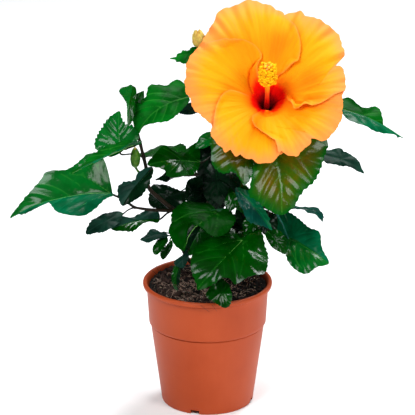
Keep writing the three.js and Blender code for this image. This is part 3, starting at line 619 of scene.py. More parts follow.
        # how far up the midrib each vein leaves it, at what angle, and its width
        broad = self.width / self.reach
        spread = [(0, 34, 1.0), (0, 66, 0.8)] if broad > 0.62 else [(0, 24, 0.9), (0, 46, 0.6)]
        if broad > 0.85 or self.outline[:, 0].min() < -4:
            spread.append((0, 104, 0.6))
        spread += [(0.26, 46, 0.8), (0.44, 43, 0.7), (0.6, 40, 0.6), (0.76, 36, 0.5)]
        if self.reach < 35:
            spread = spread[:2] + spread[-4:-1]
        for side, (s, angle, width) in itertools.product((-1, 1), spread):
            foot = end * (s + (0.025 * side if s else 0))
            turn = math.radians(angle * side * (0.94 + 0.12 * self.draw()))
            stretch = self.to_edge(foot, turn)
            if stretch < 5:
                continue
            middle = foot + 0.5 * stretch * toward(turn + math.radians(9 * side))
            goal = foot + 0.95 * stretch * toward(turn - 0.03 * side)
            veins.append((bowed(foot, middle, goal, u), width))
            if s == 0 and angle > 30 and stretch > 18:
                for share, swing in ((0.35, 38), (0.6, 34)):
                    fork = bowed(foot, middle, goal, share)
                    away = turn + math.radians(swing * side)
                    reach = self.to_edge(fork, away)
                    if reach > 6:
                        veins.append((fork + u * 0.93 * reach * toward(away - 0.1 * side), 0.45 * width))
        return veins

    def to_edge(self, start, turn):
        """How far the outline lies from a place in the direction of turn."""
        rays = self.outline - start
        off = np.abs((np.arctan2(rays[:, 1], rays[:, 0]) - turn + math.pi) % (2 * math.pi) - math.pi)
        near_ray = off < 0.09
        return np.linalg.norm(rays[near_ray], axis=1).min() if near_ray.any() else 0.0

    def vein_distance(self, x, y):
        """How far each place lies from the nearest vein."""
        dx = x[..., None] - self.vein_starts[:, 0]
        dy = y[..., None] - self.vein_starts[:, 1]
        run, rise = self.vein_steps.T
        share = np.clip((dx * run + dy * rise) / (run**2 + rise**2 + 1e-9), 0, 1)
        return (np.hypot(dx - share * run, dy - share * rise) + self.vein_thinness).min(-1)

    def relief(self, x, y):
        """How far the blade stands off its middle surface, how puffed up it is, and how near its margin."""
        x, y = np.broadcast_arrays(np.asarray(x, float), y)
        dx, dy = x - self.hub[0], y - self.hub[1]
        angle = np.arctan2(dy, dx)
        radius, sine, cosine = (
            np.interp(angle, self.angles, values, period=2 * math.pi)
            for values in (self.radii, np.sin(self.ways), np.cos(self.ways))
        )
        share = np.clip(np.hypot(dx, dy) / radius, 0, 1.1)
        way = np.arctan2(sine, cosine)
        size = min(1.1, self.reach / 75)
        puff = 1 - np.exp(-((self.vein_distance(x, y) / (VEIN_PULL * size)) ** 1.4))
        quilt = 1.5 * size * self.quilt * puff * (1 - 0.5 * smooth(0.8, 1, share))
        margin = sum(height * np.sin(cycles * way + start) for cycles, start, height in self.waves)
        margin = 0.021 * self.reach * self.wave * margin * share**3
        uneven = 0.011 * self.reach * waves(5 * x / self.reach, 5 * y / self.reach, 0, self.seed)
        fine = 0.12 * size * waves(0.9 * x, 0.9 * y, 0, self.seed + 3, 2) * puff
        if self.raised:
            centre_x, centre_y, spread, height = self.raised
            uneven = uneven + height * hump(x, centre_x, spread) * hump(y, centre_y, spread)
        return quilt + margin + uneven + fine, puff, share

    def point(self, x, y):
        """Points of the blade with its relief."""
        return self.place(x, y, self.relief(x, y)[0])

    def normals(self, x, y, step=0.35):
        down = self.point(x + step, y) - self.point(x - step, y)
        across = self.point(x, y + step) - self.point(x, y - step)
        return unit(np.cross(down, across))


def bowed(start, middle, end, u):
    """Places at shares u of a curve from start to end that is drawn towards the middle place."""
    return (1 - u) ** 2 * start + 2 * u * (1 - u) * middle + u * u * end


def round_off(corners, steps=6):
    """A smooth closed line through the corners."""
    before, after, beyond = np.roll(corners, 1, 0), np.roll(corners, -1, 0), np.roll(corners, -2, 0)
    u = np.linspace(0, 1, steps, endpoint=False)[:, None, None]
    curve = 0.5 * (
        2 * corners
        + (after - before) * u
        + (2 * before - 5 * corners + 4 * after - beyond) * u**2
        + (3 * corners - before - 3 * after + beyond) * u**3
    )
    return curve.transpose(1, 0, 2).reshape(-1, 2)


def even_steps(line, step):
    """Places at even steps along a closed line."""
    closed = np.concatenate([line, line[:1]])
    lengths = np.concatenate([[0], np.cumsum(np.linalg.norm(np.diff(closed, axis=0), axis=1))])
    count = max(48, int(lengths[-1] / step))
    at = np.linspace(0, lengths[-1], count, endpoint=False)
    return np.stack([np.interp(at, lengths, closed[:, axis]) for axis in (0, 1)], 1)


class Cells:
    """Deals out the cells of a square map, one for each side of each leaf."""

    def __init__(self, wanted):
        self.across = math.ceil(math.sqrt(wanted))
        self.used = 0

    def place(self, x, y):
        """The map places of one side, from places on the leaf."""
        column, row = self.used % self.across, self.used // self.across
        self.used += 1
        u = 0.03 + 0.94 * (x - x.min()) / np.ptp(x)
        v = 0.03 + 0.94 * (y - y.min()) / np.ptp(y)
        return np.stack([(u + column) / self.across, (v + row) / self.across], -1).reshape(-1, 2)


def add_blade(shell, leaf, cells, slots):
    """The blade as a thin closed body, with the slots of its two upper halves and of its underside."""
    rings = int(np.clip(leaf.width / 3.4, 8, 18))
    share = (1 - (1 - np.linspace(0, 1, rings)) ** 1.15)[:, None, None]
    flat = leaf.hub + share * (leaf.outline - leaf.hub) + share**5 * leaf.teeth
    x, y = flat[..., 0], flat[..., 1]
    relief, puff, margin = leaf.relief(x, y)
    middle = leaf.place(x, y, relief)
    around = np.roll(middle, -1, 1) - np.roll(middle, 1, 1)
    normal = np.cross(np.gradient(middle, axis=0), around)
    normal[0] = normal[1].mean(0)
    normal = unit(normal)
    normal = normal * np.sign(normal[-2:].mean((0, 1)) @ leaf.normals(leaf.hub[:1], leaf.hub[1:])[0])
    thickness = LEAF_THICKNESS * (1 - 0.55 * np.clip(margin, 0, 1) ** 6)
    offset = normal * (thickness / 2)[..., None]
    start, after = leaf.outline[:2] - leaf.hub
    clockwise = start[0] * after[1] <= start[1] * after[0]
    tone = np.stack([puff, margin, 0 * x], -1)
    halves = np.where(leaf.outline[:, 1] > 0, slots[1], slots[0])
    upper, lower = (cells.place(x, y) for _ in range(2))
    shell.grid(middle + offset, halves, wrap=True, flip=clockwise, uv=upper, tone=tone)
    shell.grid(middle - offset, slots[2], wrap=True, flip=not clockwise, uv=lower, tone=tone)
    rim = np.stack([(middle + offset)[-1], (middle - offset)[-1]])
    rim_map = np.tile(upper[-rim.shape[1]:], (2, 1))
    shell.grid(rim, slots[0], wrap=True, flip=clockwise, uv=rim_map, tone=np.tile(tone[-1], (2, 1)))


def add_veins(shell, leaf):
    """Thin raised strips along the veins, on both faces: slot 0 for pale veins and slot 1 for green ones."""
    tint = leaf.tints[0]
    size = float(np.clip(leaf.reach / 80, 0.35, 1.1))
    for line, width in leaf.veins:
        middle = leaf.point(*line.T)
        normal = leaf.normals(*line.T)
        side = unit(np.cross(normal, np.gradient(middle, axis=0)))
        main = width >= 0.9
        taper = 1 - 0.6 * np.linspace(0, 1, len(line))
        half = (0.5 * size * width * taper * (0.9 if main else 0.6))[:, None]
        # blades in painted shadow keep green veins too, since pale ones would stand out of the shadow
        pale = tint == "bronze" or (main and tint not in ("shade", "grey"))
        for sign, height in ((1, 0.75), (-1, 1.1)):
            ridge = middle + sign * normal * (LEAF_THICKNESS * 0.4 - 0.1 + height * half)
            foot = middle + sign * normal * (LEAF_THICKNESS * 0.4 - 0.25)
            strip = np.stack([foot - side * half, ridge, foot + side * half], 1)
            shell.grid(strip, 0 if pale else 1, flip=sign > 0)


def petiole(leaf, stem):
    """The leaf stalk and where it leaves the stem, by the source's rule."""
    def miss(u):
        lead = np.linalg.norm(stem.at(u) - leaf.base) * 0.35
        return np.linalg.norm(stem.at(u) + stem.tangent(u) * lead - leaf.base)

    leaves_at = min((i / 20 for i in range(1, 21)), key=miss)
    foot = stem.at(leaves_at)
    arch = (foot + leaf.base) / 2 + UP * PETIOLE_ARCH * np.linalg.norm(foot - leaf.base)
    rib = MIDRIB_END * leaf.reach
    under = leaf.normals(rib, 0.0) * 0.5
    size = float(np.clip(leaf.reach / 60, 0.55, 1.1))
    path = [foot, arch, leaf.base - under, leaf.point(rib, 0.0) - under]
    return Limb(path, [radius * size for radius in PETIOLE_RADII]), leaves_at


# The masses of foliage: stems as in the source, and the leaves that the photograph shows. A leaf is its
# blade's base, tip, width, turn, rise, fold and droop as in the source, and then what only the looks need.
# Its edge is the outline as read from the photograph.
STEMS = {
    "foliage_upper_left": Limb(
        [[-33, -8, 205], [-46, -10, 217], [-58, -13, 231], [-60, -13, 249], [-66, -13, 277],
         [-72, -11, 303]],
        [2.4, 2.2, 2, 1.8, 1.5, 1.1],
    ),
    "foliage_left": Limb(
        [[-33, -8, 205], [-44, -16, 208], [-58, -22, 211], [-72, -24, 214]],
        [2, 1.8, 1.6, 1.2],
    ),
    "foliage_top": Limb([[15, 19, 250], [17, 22, 285], [12, 24, 325], [-8, 22, 366]], [2.2, 2, 1.7, 1.3]),
    "foliage_under_bloom": Limb([[44, 12, 258], [50, -2, 270], [56, -18, 284]], [2, 1.8, 1.4]),
    "foliage_upper_right": Limb([[44, 12, 258], [66, 20, 270], [88, 22, 290]], [2.1, 1.9, 1.4]),
    "foliage_right": Limb([[47, -14, 214], [58, -18, 212], [68, -18, 206]], [2.2, 1.9, 1.5]),
    "foliage_front": Limb(
        [[5, 4, 141], [8, -10, 152], [13, -20, 176], [16, -26, 202]],
        [2.8, 2.5, 2.2, 1.6],
    ),
    "foliage_middle": Limb([[7, 3, 162], [1, -3, 182], [0, -4, 205], [6, -2, 232]], [2.6, 2.4, 2, 1.5]),
    "foliage_low": Limb(
        [[4, 4, 131], [-8, -5, 140], [-22, -10, 158], [-28, -12, 176]],
        [2.2, 2, 1.7, 1.2],
    ),
    "foliage_back_left": Limb([[4, 50, 224], [-8, 60, 219], [-24, 68, 215]], [2.2, 1.9, 1.3]),
    "foliage_back_right": Limb([[64, 38, 226], [76, 50, 248], [84, 58, 276]], [2.1, 1.8, 1.3]),
    "foliage_back_top": Limb(
        [[15, 19, 250], [22, 38, 278], [28, 50, 312], [32, 56, 340]],
        [2.1, 1.9, 1.6, 1.2],
    ),
}
LEAVES = {
    "foliage_upper_left": [
        Leaf([-71, -30, 281], [-131, -62, 260], 34, 90, 75, 25, 15, "fresh teal", wave=0.8, quilt=0.7),
        Leaf([-85, -25, 270], [-85, 5, 303], 48, -105, 25, 15, 10, "bright", wave=0.8, quilt=1.5,
             teeth=2.2,
             edge=[(-2, 5), (-3, 11), (5, 18), (5, 24), (13, 26), (26, 21), (37, 13), (46, 2), (38, -1),
                   (30, -6), (28, -13), (22, -19), (12, -20), (6, -14), (4, -5)]),
        Leaf([-73, -4, 332], [-76, -22, 311], 34, -70, 20, 30, 20, "bright deep", wave=0.8, quilt=0.8,
             teeth=1.8,
             edge=[(1, 3), (-1, -3), (3, -8), (7, -15), (11, -17), (15, -13), (21, -5), (38, 0), (36, 4),
                   (13, 4)]),
        Leaf([-69, -4, 315], [-62, -9, 330], 11, -90, 30, 20, 20, "deep", wave=2.0),
        Leaf([-54, -25, 255], [-84, -48, 224], 32, -120, 30, 12, 30, "grey shade", quilt=0.6, teeth=1.5,
             edge=[(-1, -1), (12, -8), (21, -6), (34, -15), (43, -8), (48, 0), (45, 4), (33, 13),
                   (20, 11), (9, 8)]),
    ],
    "foliage_left": [
        Leaf([-96, -20, 227], [-192, -45, 209], 72, -95, 63, 32, 55, "bright teal", wave=0.8, teeth=0.6,
             raised=(8, -44, 26, 8.5),
             edge=[(-2, -9), (1, -26), (6, -35), (13, -39), (19, -39), (25, -35), (40, -26), (55, -29),
                   (62, -23), (77, -14), (91, -8), (100, 1), (82, 9), (72, 6), (62, 5), (59, 25),
                   (51, 42), (39, 46), (30, 41), (22, 35), (8, 20), (-1, 8)]),
        Leaf([-84, -18, 205], [-119, -38, 193], 26, -90, 50, 12, 40, "grey", wave=1.2, quilt=0.6,
             edge=[(1, -3), (15, -7), (24, -8), (32, -6), (43, 0), (39, 5), (27, 11), (16, 11), (4, 5)]),
        Leaf([-47, -6, 195], [-94, -30, 194], 30, -90, 55, 20, 25, "grey deep", quilt=0.8,
             edge=[(0, -3), (5, -12), (21, -8), (29, -6), (40, -10), (46, -9), (54, 0), (45, 8), (39, 12),
                   (27, 8), (12, 2), (3, 3)]),
    ],
    "foliage_top": [
        Leaf([-13, 15, 317], [-67, -22, 290], 56, -105, 58, 12, 85, "fresh", wave=0.6, quilt=1.1,
             teeth=0.6,
             edge=[(4, -7), (-1, -18), (0, -27), (6, -27), (17, -22), (25, -25), (32, -29), (43, -20),
                   (51, -23), (61, -16), (68, -7), (70, 1), (63, 2), (54, 12), (44, 20), (30, 18),
                   (12, 8)]),
        Leaf([-4, 20, 362], [-33, 8, 356], 26, -90, 60, 15, 20, "fresh", wave=0.8, quilt=0.8, teeth=0.6,
             edge=[(2, 1), (10, 5), (16, 10), (23, 12), (27, 10), (28, 6), (31, 5), (31, 1), (35, -3),
                   (29, -2), (26, -5), (22, -4), (20, -6), (14, -4), (9, -7), (2, -4)]),
        Leaf([-6, -10, 256], [-57, -38, 264], 46, -90, 58, 12, 45, "satin deep", wave=1.4, quilt=0.7,
             edge=[(-4, -14), (-2, -23), (10, -17), (27, -11), (37, -16), (46, -12), (59, -1), (59, 4),
                   (47, 11), (47, 18), (41, 26), (29, 26), (14, 16), (3, 2)]),
        Leaf([-8, 13, 306], [-32, 9, 302], 12, -90, 20, 10, 20, "grey"),
    ],
    "foliage_under_bloom": [
        Leaf([39, -28, 293], [18, -52, 255], 60, -105, 40, 8, 30, "bronze", wave=0.8,
             edge=[(-4, -6), (0, -22), (13, -32), (21, -31), (30, -25), (43, -17), (47, -5), (42, 5),
                   (47, 16), (50, 21), (43, 24), (33, 23), (9, 14), (-3, 6)]),
        Leaf([62, -38, 298], [76, -70, 222], 90, -82, 35, 10, 25, "bronze", wave=0.8, quilt=0.75,
             raised=(56, -42, 36, 7),
             edge=[(-4, -4), (6, -13), (29, -24), (48, -32), (58, -35), (64, -28), (72, -20), (81, -6),
                   (78, 5), (75, 10), (68, 15), (61, 22), (55, 32), (45, 40), (34, 46), (29, 49),
                   (20, 53), (6, 44), (-5, 20)]),
    ],
    "foliage_upper_right": [
        Leaf([113, 20, 306], [193, 10, 273], 34, -90, 70, 12, 30, "teal fresh", wave=0.8, quilt=0.5,
             teeth=0.4,
             edge=[(2, -3), (17, -5), (31, -13), (44, -14), (62, -10), (81, -2), (87, 1), (74, 0),
                   (66, 1), (59, 12), (54, 22), (50, 24), (44, 16), (37, 12), (27, 18), (19, 19),
                   (6, 8)]),
        Leaf([110, 15, 257], [155, 0, 241], 32, -90, 65, 10, 40, "grey", wave=0.8, quilt=0.3, teeth=0.6,
             edge=[(2, -4), (13, -11), (21, -9), (31, -5), (41, -5), (50, 0), (45, 4), (34, 11), (22, 11),
                   (18, 14), (10, 10), (2, 4)]),
    ],
    "foliage_right": [
        Leaf([81, -15, 177], [119, -48, 166], 60, -78, 24, 24, 40, "bright teal", wave=1.3, quilt=1.2,
             green_stalk=True,
             edge=[(-37, 11), (-33, 19), (-25, 25), (-2, 24), (16, 20), (30, 20), (39, 8), (52, 0),
                   (51, -6), (46, -13), (43, -24), (35, -27), (21, -24), (6, -10), (-10, -5), (-27, 3)]),
        Leaf([82, -5, 206], [115, -20, 198], 24, 90, 80, 15, 60, "slate", quilt=0.6,
             edge=[(1, -3), (12, -8), (25, -13), (33, -7), (37, 0), (32, 5), (24, 12), (15, 9), (4, 5)]),
        Leaf([59, -35, 193], [77, -48, 175], 24, -110, 40, 10, 20, "deep", wave=1.2,
             edge=[(0, -3), (14, -7), (24, -4), (29, -1), (25, 4), (12, 10), (4, 7)]),
        Leaf([30, -32, 234], [60, -58, 203], 34, -60, 45, 10, 30, "slate teal", quilt=0.9,
             edge=[(-4, 1), (5, 9), (20, 9), (32, 9), (44, 5), (52, 3), (44, -5), (34, -14), (23, -14),
                   (9, -9), (0, -4)]),
        Leaf([50, -26, 206], [36, -40, 190], 18, -110, 50, 12, 30, "deep", wave=1.2),
        Leaf([55, -10, 203], [63, -24, 180], 24, -70, 35, 12, 30, "shade", wave=1.2, quilt=0.8),
    ],
    "foliage_front": [
        Leaf([9, -38, 213], [-23, -76, 188], 66, -105, 54, 8, 95, "satin", wave=1.2, quilt=0.9,
             heart=(18, -14),
             edge=[(1, -32), (-7, -26), (-8, -17), (-2, -1), (-13, 1), (-16, 4), (-5, 18), (6, 25),
                   (17, 27), (30, 25), (33, 18), (30, 1), (35, -5), (49, -1), (56, 0), (53, -12),
                   (46, -23), (38, -25), (29, -31), (15, -31)]),
        Leaf([34, -48, 188], [-3, -88, 155], 84, -92, 46, 6, 40, "deep", quilt=0.65,
             edge=[(0, -4), (-6, -16), (6, -20), (18, -26), (31, -32), (41, -30), (55, -22), (65, -9),
                   (69, -4), (56, 6), (47, 10), (44, 17), (45, 24), (31, 31), (21, 39), (12, 38),
                   (-2, 30), (-10, 21), (-20, 7), (-15, 1), (-6, -1)]),
        Leaf([16, -60, 155], [20, -80, 129], 28, -80, 40, 20, 40, "deep", wave=1.2, quilt=0.8,
             edge=[(2, -3), (9, -13), (19, -22), (27, -12), (32, -2), (26, 4), (11, 4)]),
        Leaf([26, -24, 230], [19, -36, 212], 18, -110, 30, 15, 20, "deep", quilt=0.8,
             edge=[(1, -2), (10, -6), (19, -1), (19, 4), (11, 9), (3, 4)]),
    ],
    # most of these blades take the near-black colour, painted shadow that fills the dark hollow in the
    # plant's middle
    "foliage_middle": [
        Leaf([8, -8, 252], [13, -16, 212], 28, -110, 20, 12, 30, "shade", wave=1.2, quilt=0.8),
        Leaf([14, -2, 246], [30, -16, 226], 24, -50, 30, 12, 40, "shade", wave=1.2, quilt=0.8),
        Leaf([-3, 4, 232], [-22, -4, 216], 22, -100, 50, 10, 40, "shade", wave=1.2, quilt=0.8),
        Leaf([7, 2, 280], [-12, -4, 268], 16, -100, 50, 12, 30, "bright", quilt=0.8),
        Leaf([-18, 6, 243], [-52, -14, 239], 28, -95, -40, 12, -20, "shade", quilt=0.8),
        Leaf([-21, 20, 218], [-58, 10, 200], 36, -110, 40, 10, 30, "shade", wave=1.2, quilt=0.8,
             edge=[(0, 5), (8, -2), (19, -16), (27, -21), (33, -15), (40, -4), (35, 6), (24, 16),
                   (10, 14)]),
        Leaf([6, 8, 270], [-5, 0, 234], 34, -100, 35, 10, 30, "shade", wave=1.3),
        Leaf([14, 2, 240], [9, -6, 203], 36, -80, 30, 10, 40, "shade", wave=1.3),
        Leaf([-7, 14, 219], [16, 8, 197], 26, -90, 35, 12, 30, "shade", wave=1.3),
        Leaf([10, 12, 218], [-27, 10, 211], 24, -95, 40, 12, 30, "shade", wave=1.3),
        Leaf([28, -4, 231], [36, -16, 204], 24, -80, 35, 12, 30, "deep", wave=1.3),
        Leaf([0, -12, 201], [-22, -30, 163], 30, -100, 30, 12, 30, "shade deep", wave=1.3),
        Leaf([42, -10, 193], [20, -34, 181], 36, -90, 40, 12, 30, "shade deep", wave=1.3),
        Leaf([35, -8, 210], [50, -20, 184], 28, -80, 35, 12, 30, "shade", wave=1.3),
    ],
    "foliage_low": [
        Leaf([-41, -14, 184], [-67, -30, 181], 18, -90, 55, 15, 30, "grey", wave=1.2, quilt=0.8,
             edge=[(0, -1), (7, -1), (12, -8), (23, -3), (30, 0), (24, 6), (12, 7), (2, 7)]),
        Leaf([-39, -18, 182], [-53, -34, 168], 22, -100, 40, 15, 30, "deep", wave=1.4, quilt=1.2,
             edge=[(2, -2), (8, -5), (19, -5), (25, 0), (20, 5), (6, 4)]),
        Leaf([-36, -16, 179], [-45, -24, 160], 14, -90, 30, 15, 20, "deep", wave=1.2,
             edge=[(2, 1), (8, -1), (18, -4), (23, 1), (17, 4), (7, 5)]),
        Leaf([-18, -30, 172], [-35, -42, 153], 18, -70, 35, 20, 40, "grey", wave=1.4,
             edge=[(2, -2), (8, -2), (19, -5), (21, -1), (20, 4), (17, 7), (7, 4)]),
        Leaf([-27, -38, 158], [-30, -46, 133], 14, -110, 30, 20, 30, "deep shade", quilt=0.8,
             edge=[(0, -5), (9, -7), (19, -5), (25, 0), (17, 2), (2, 1)]),
    ],
}
# Buds: base, tip and radius, and whether it is still shut, on a stalk of its own
BUDS = {
    "foliage_upper_left": ([-71, -15, 253], [-71, -17, 275], 5.4, True),
    "foliage_top": ([-7, 22, 365], [-10, 21, 381], 6.2, False),
}
# What the source's rule grows: its seed, the first leaf's turn, the blades' length and the space for them
GROWN = {
    "foliage_back_left": dict(seed=3, first=60, blade=66, space=[[-72, 60], [12, 160], [132, 242]]),
    "foliage_back_right": dict(seed=5, first=20, blade=70, space=[[-20, 128], [8, 160], [140, 330]]),
    "foliage_back_top": dict(seed=9, first=80, blade=62, space=[[-5, 130], [8, 150], [200, 385]]),
}
GROWN_LEAVES = 8
GOLDEN_ANGLE = 137.5
LEAF_CLEARANCE = 9
LIMB_CLEARANCE = 7
TURNS_TRIED = 7
TURN_STEP = 26
# every third grown leaf takes the blue-green, with its painted sky reflection
GROWN_TINTS = ("bright", "deep", "teal")


def near(samples, others, distance):
    """Whether any sample lies within the distance of any of the others."""
    return (np.linalg.norm(samples[:, None] - np.asarray(others), axis=-1) < distance).any()


def grow(stem, leaf_points, limb_points, seed, first, blade, space):
    """The source's rule: one leaf at each node up the stem, turned on by the golden angle."""
    low, high = np.array(space, float).T
    grown = []
    for i in range(GROWN_LEAVES):
        draw = seeded(seed * 1000 + i)
        way = (i + 1) / GROWN_LEAVES
        foot = stem.at(way)
        stalk = 24 + 14 * draw()
        rise = 15 + 30 * draw() * way
        length = blade * (1.08 - 0.3 * way) * (0.88 + 0.24 * draw())
        width = length * (0.7 + 0.14 * draw())
        pitch = -12 - 34 * draw()
        droop = 30 + 30 * draw()
        fold = 8 + 10 * draw()
        sway = 24 * (draw() - 0.5)
        tilt = 26 * (draw() - 0.5)
        for turned in range(TURNS_TRIED):
            turn = first + i * GOLDEN_ANGLE + turned * TURN_STEP * (1 if turned % 2 else -1)
            base = foot + heading(turn, rise) * stalk
            tip = base + heading(turn + sway, pitch) * length
            leaf = Leaf(base, tip, width, turn + tilt, 70, fold, droop, GROWN_TINTS[i % 3], seed=i + seed)
            points = leaf.samples()
            inside = ((points > low) & (points < high)).all()
            crowded = near(points, leaf_points, LEAF_CLEARANCE) or near(points, limb_points, LIMB_CLEARANCE)
            if inside and not crowded:
                grown.append(leaf)
                leaf_points.extend(points)
                break
    return grown


# Flower
BLOOM_AXIS = heading(-90, BLOOM_RISE)
BLOOM_RIGHT = np.array([1.0, 0.0, 0.0])
BLOOM_UP = np.cross(BLOOM_AXIS, BLOOM_RIGHT)


def funnel(radius, turn, ruffle=RUFFLE):
    """How high the flower's face stands along its axis, as in the source."""
    flare = FUNNEL_DEPTH * (1 - np.exp(-(radius - THROAT_RADIUS) / FUNNEL_WIDTH))
    rimward = np.maximum(0, radius - RIM_ROLL_START) / (FLOWER_RADIUS - RIM_ROLL_START)
    ruffles = np.sin(7 * turn + 0.6) + 0.7 * np.sin(11 * turn + 2.1)
    return flare - RIM_ROLL * rimward**2 + ruffle * ruffles * (radius / FLOWER_RADIUS) ** 4


def bloom_point(radius, turn, height):
    """Points from a radius and a turn about the flower's axis, and a height along it."""
    radius, turn, height = np.broadcast_arrays(radius, turn, height)
    return (
        BLOOM
        + height[..., None] * BLOOM_AXIS
        + (radius * np.cos(turn))[..., None] * BLOOM_RIGHT
        + (radius * np.sin(turn))[..., None] * BLOOM_UP
    )


def bloom_samples():
    """Points over the flower's face, for keeping grown leaves off it."""
    radius, turn = np.meshgrid(np.arange(12, FLOWER_RADIUS + 6, 12), np.radians(np.arange(0, 360, 15)))
    return bloom_point(radius, turn, funnel(radius, turn)).reshape(-1, 3)


# Petals as read from the photograph: the free and the tucked edge as (radius, turn), and the rim as (turn,
# radius), in millimetres and degrees. A petal's free edge lies over the tucked edge of the petal before it.
# At each radius, curl is how far the free edge turns up, and scroll how wide its rolled strip is.
PETALS = {
    "petal_top": dict(
        free=[(3, 75), (18, 67), (25, 63), (30, 56), (37, 53), (45, 48), (52, 52), (60, 57), (75, 68),
              (88, 79)],
        tucked=[(3, 132), (22, 128), (40, 120), (55, 126), (64, 140), (84, 152)],
        rim=[(79, 88), (83, 93), (88, 98), (94, 102), (99, 107), (103, 105), (106, 103), (110, 103),
             (113, 105), (117, 103), (121, 97), (127, 91), (136, 86), (145, 84), (152, 82)],
        curl=[(20, 0), (30, 1), (37, 3), (44, 4), (50, 2.2), (60, 1), (88, 0.6)],
    ),
    "petal_left": dict(
        free=[(3, 104), (22, 111), (31, 108), (35, 103), (38, 98), (42, 97), (50, 102), (59, 111),
              (62, 118), (66, 124), (69, 125), (75, 132), (81, 139)],
        tucked=[(3, 196), (17, 186), (36, 190), (47, 205), (56, 221), (64, 230)],
        rim=[(139, 81), (142, 84), (153, 85), (159, 85), (166, 81), (171, 82), (177, 79), (183, 75),
             (189, 74), (195, 72), (202, 67), (208, 64), (213, 64), (222, 62), (230, 61)],
        curl=[(16, 0), (22, 2), (32, 3), (40, 1.6), (54, 1), (60, 2), (65, 4.5), (69, 2), (74, 0.6),
              (81, 0)],
        scroll=[(13, 10), (17, 11), (25, 11), (31, 8), (37, 3), (40, 0.1)],
    ),
    "petal_lower_left": dict(
        free=[(3, 160), (17, 169), (27, 171), (36, 173), (42, 179), (47, 188), (52, 197), (56, 204),
              (63, 214)],
        tucked=[(3, 268), (17, 258), (25, 254), (31, 260), (40, 280), (50, 293), (63, 296)],
        rim=[(213, 64), (220, 71), (227, 72), (236, 72), (238, 68), (240, 70), (245, 72), (247, 69),
             (252, 71), (257, 70), (261, 73), (267, 73), (273, 71), (277, 68), (280, 64), (288, 62),
             (296, 60)],
        curl=[(16, 0), (27, 1.4), (40, 2.4), (52, 1.6), (63, 1)],
    ),
    "petal_lower_right": dict(
        free=[(3, 236), (8, 238), (11, 240), (17, 239), (25, 235), (31, 241), (36, 250), (40, 262),
              (44, 270), (50, 278), (57, 279), (63, 279)],
        tucked=[(3, 384), (17, 379), (21, 364), (29, 350), (37, 357), (45, 359), (59, 369), (75, 377)],
        rim=[(279, 63), (282, 62), (286, 67), (290, 70), (295, 70), (300, 68), (305, 67), (309, 66),
             (311, 63), (314, 66), (316, 72), (319, 74), (324, 75), (332, 76), (337, 76), (343, 75),
             (351, 74), (356, 72), (361, 74), (372, 72), (377, 72)],
        curl=[(5, 0), (9, 2), (14, 3.4), (25, 3), (36, 3), (46, 2.4), (56, 2), (63, 1)],
    ),
    "petal_right": dict(
        free=[(3, 372), (17, 368), (21, 348), (29, 331), (34, 334), (37, 341), (45, 343), (52, 348),
              (59, 354), (65, 358), (74, 361)],
        tucked=[(3, 442), (18, 442), (25, 440), (30, 434), (37, 430), (45, 426), (52, 428), (60, 434),
                (75, 444), (85, 452)],
        rim=[(361, 75), (368, 77), (374, 77), (379, 78), (383, 76), (384, 70), (385, 74), (387, 82),
             (389, 86), (392, 89), (396, 90), (399, 94), (404, 98), (409, 97), (413, 95), (417, 96),
             (422, 93), (426, 92), (430, 96), (433, 95), (437, 91), (439, 88), (445, 86), (452, 84)],
        curl=[(16, 0), (20, 3), (24, 7), (28, 4), (31, 1.6), (35, 6), (40, 7), (45, 3), (50, 1), (60, 1),
              (74, 0.6)],
        scroll=[(22, 6), (25, 7), (31, 8), (36, 6), (41, 3), (44, 0.1)],
    ),
}
# The red eye as (turn, radius), and where the petals are deeper orange, partly their own colour and partly
# painted shading in hollows and folds: turn, radius, both spreads, amount
EYE = [(169, 15), (193, 15), (216, 13), (235, 14), (254, 12.5), (268, 8.5), (282, 11), (292, 11), (318, 13),
       (339, 15), (361, 16), (378, 18), (420, 18), (470, 20), (479, 19), (505, 17), (529, 15)]
DEEP_ORANGE_AND_SHADING = [(78, 50, 13, 24, 1.0), (112, 62, 22, 26, 0.5), (20, 44, 14, 14, 1.0), (352, 50, 9, 9, 0.7),
               (165, 38, 10, 12, 0.6), (190, 60, 8, 8, 0.3), (250, 42, 6, 12, 0.6), (306, 48, 5, 16, 0.8),
               (296, 63, 4, 4, 0.8), (40, 66, 6, 14, 0.3)]


def petal_material():
    """Yellow orange with radial streaks, deeper orange in the hollows, folds and overlaps, partly its own
    colour and partly painted shading, peach towards the edges with a painted highlight along the turned-up
    free edges, and a red eye.
    """
    nodes = Nodes("petal", 0.7, 0.08)
    streaks = nodes.noise(1, 4, 0.6, nodes.attribute("grain"), 0.2)
    shift = nodes.rescale(streaks, 0.3, 0.7, -0.1, 0.1)
    from_eye, pale, deep = (
        nodes.node("Math", {0: shift, 1: share, 2: part}, operation="MULTIPLY_ADD")[0]
        for part, share in zip(nodes.split(nodes.attribute("tone")), (0.2, 1.0, 1.8))
    )
    body = nodes.tint(
        from_eye,
        (0.12, 112, 2, 8),
        (0.17, 156, 0, 6),
        (0.225, 228, 2, 2),
        (0.32, 246, 20, 0),
        (0.355, 246, 76, 2),
        (0.4, 246, 118, 3),
        (0.55, 246, 146, 3),
        (1.0, 244, 157, 4),
    )
    # deeper orange: partly the petal's own, partly painted shading in hollows, folds and under overlaps
    body = nodes.mix(nodes.fade(deep, 0.1, 1.0), body, srgb(246, 126, 0))
    # peach edges, partly their own colour and partly the painted highlight of the turned-up free edges
    nodes.colour(nodes.mix(nodes.fade(pale, 0.05, 1.0), body, srgb(244, 144, 70)))
    nodes.bump(streaks, 0.4, 0.5)
    return nodes.material


def listed(pairs, value):
    """The second numbers of a list of pairs, read at a value of the first."""
    return np.interp(value, [pair[0] for pair in pairs], [pair[1] for pair in pairs])


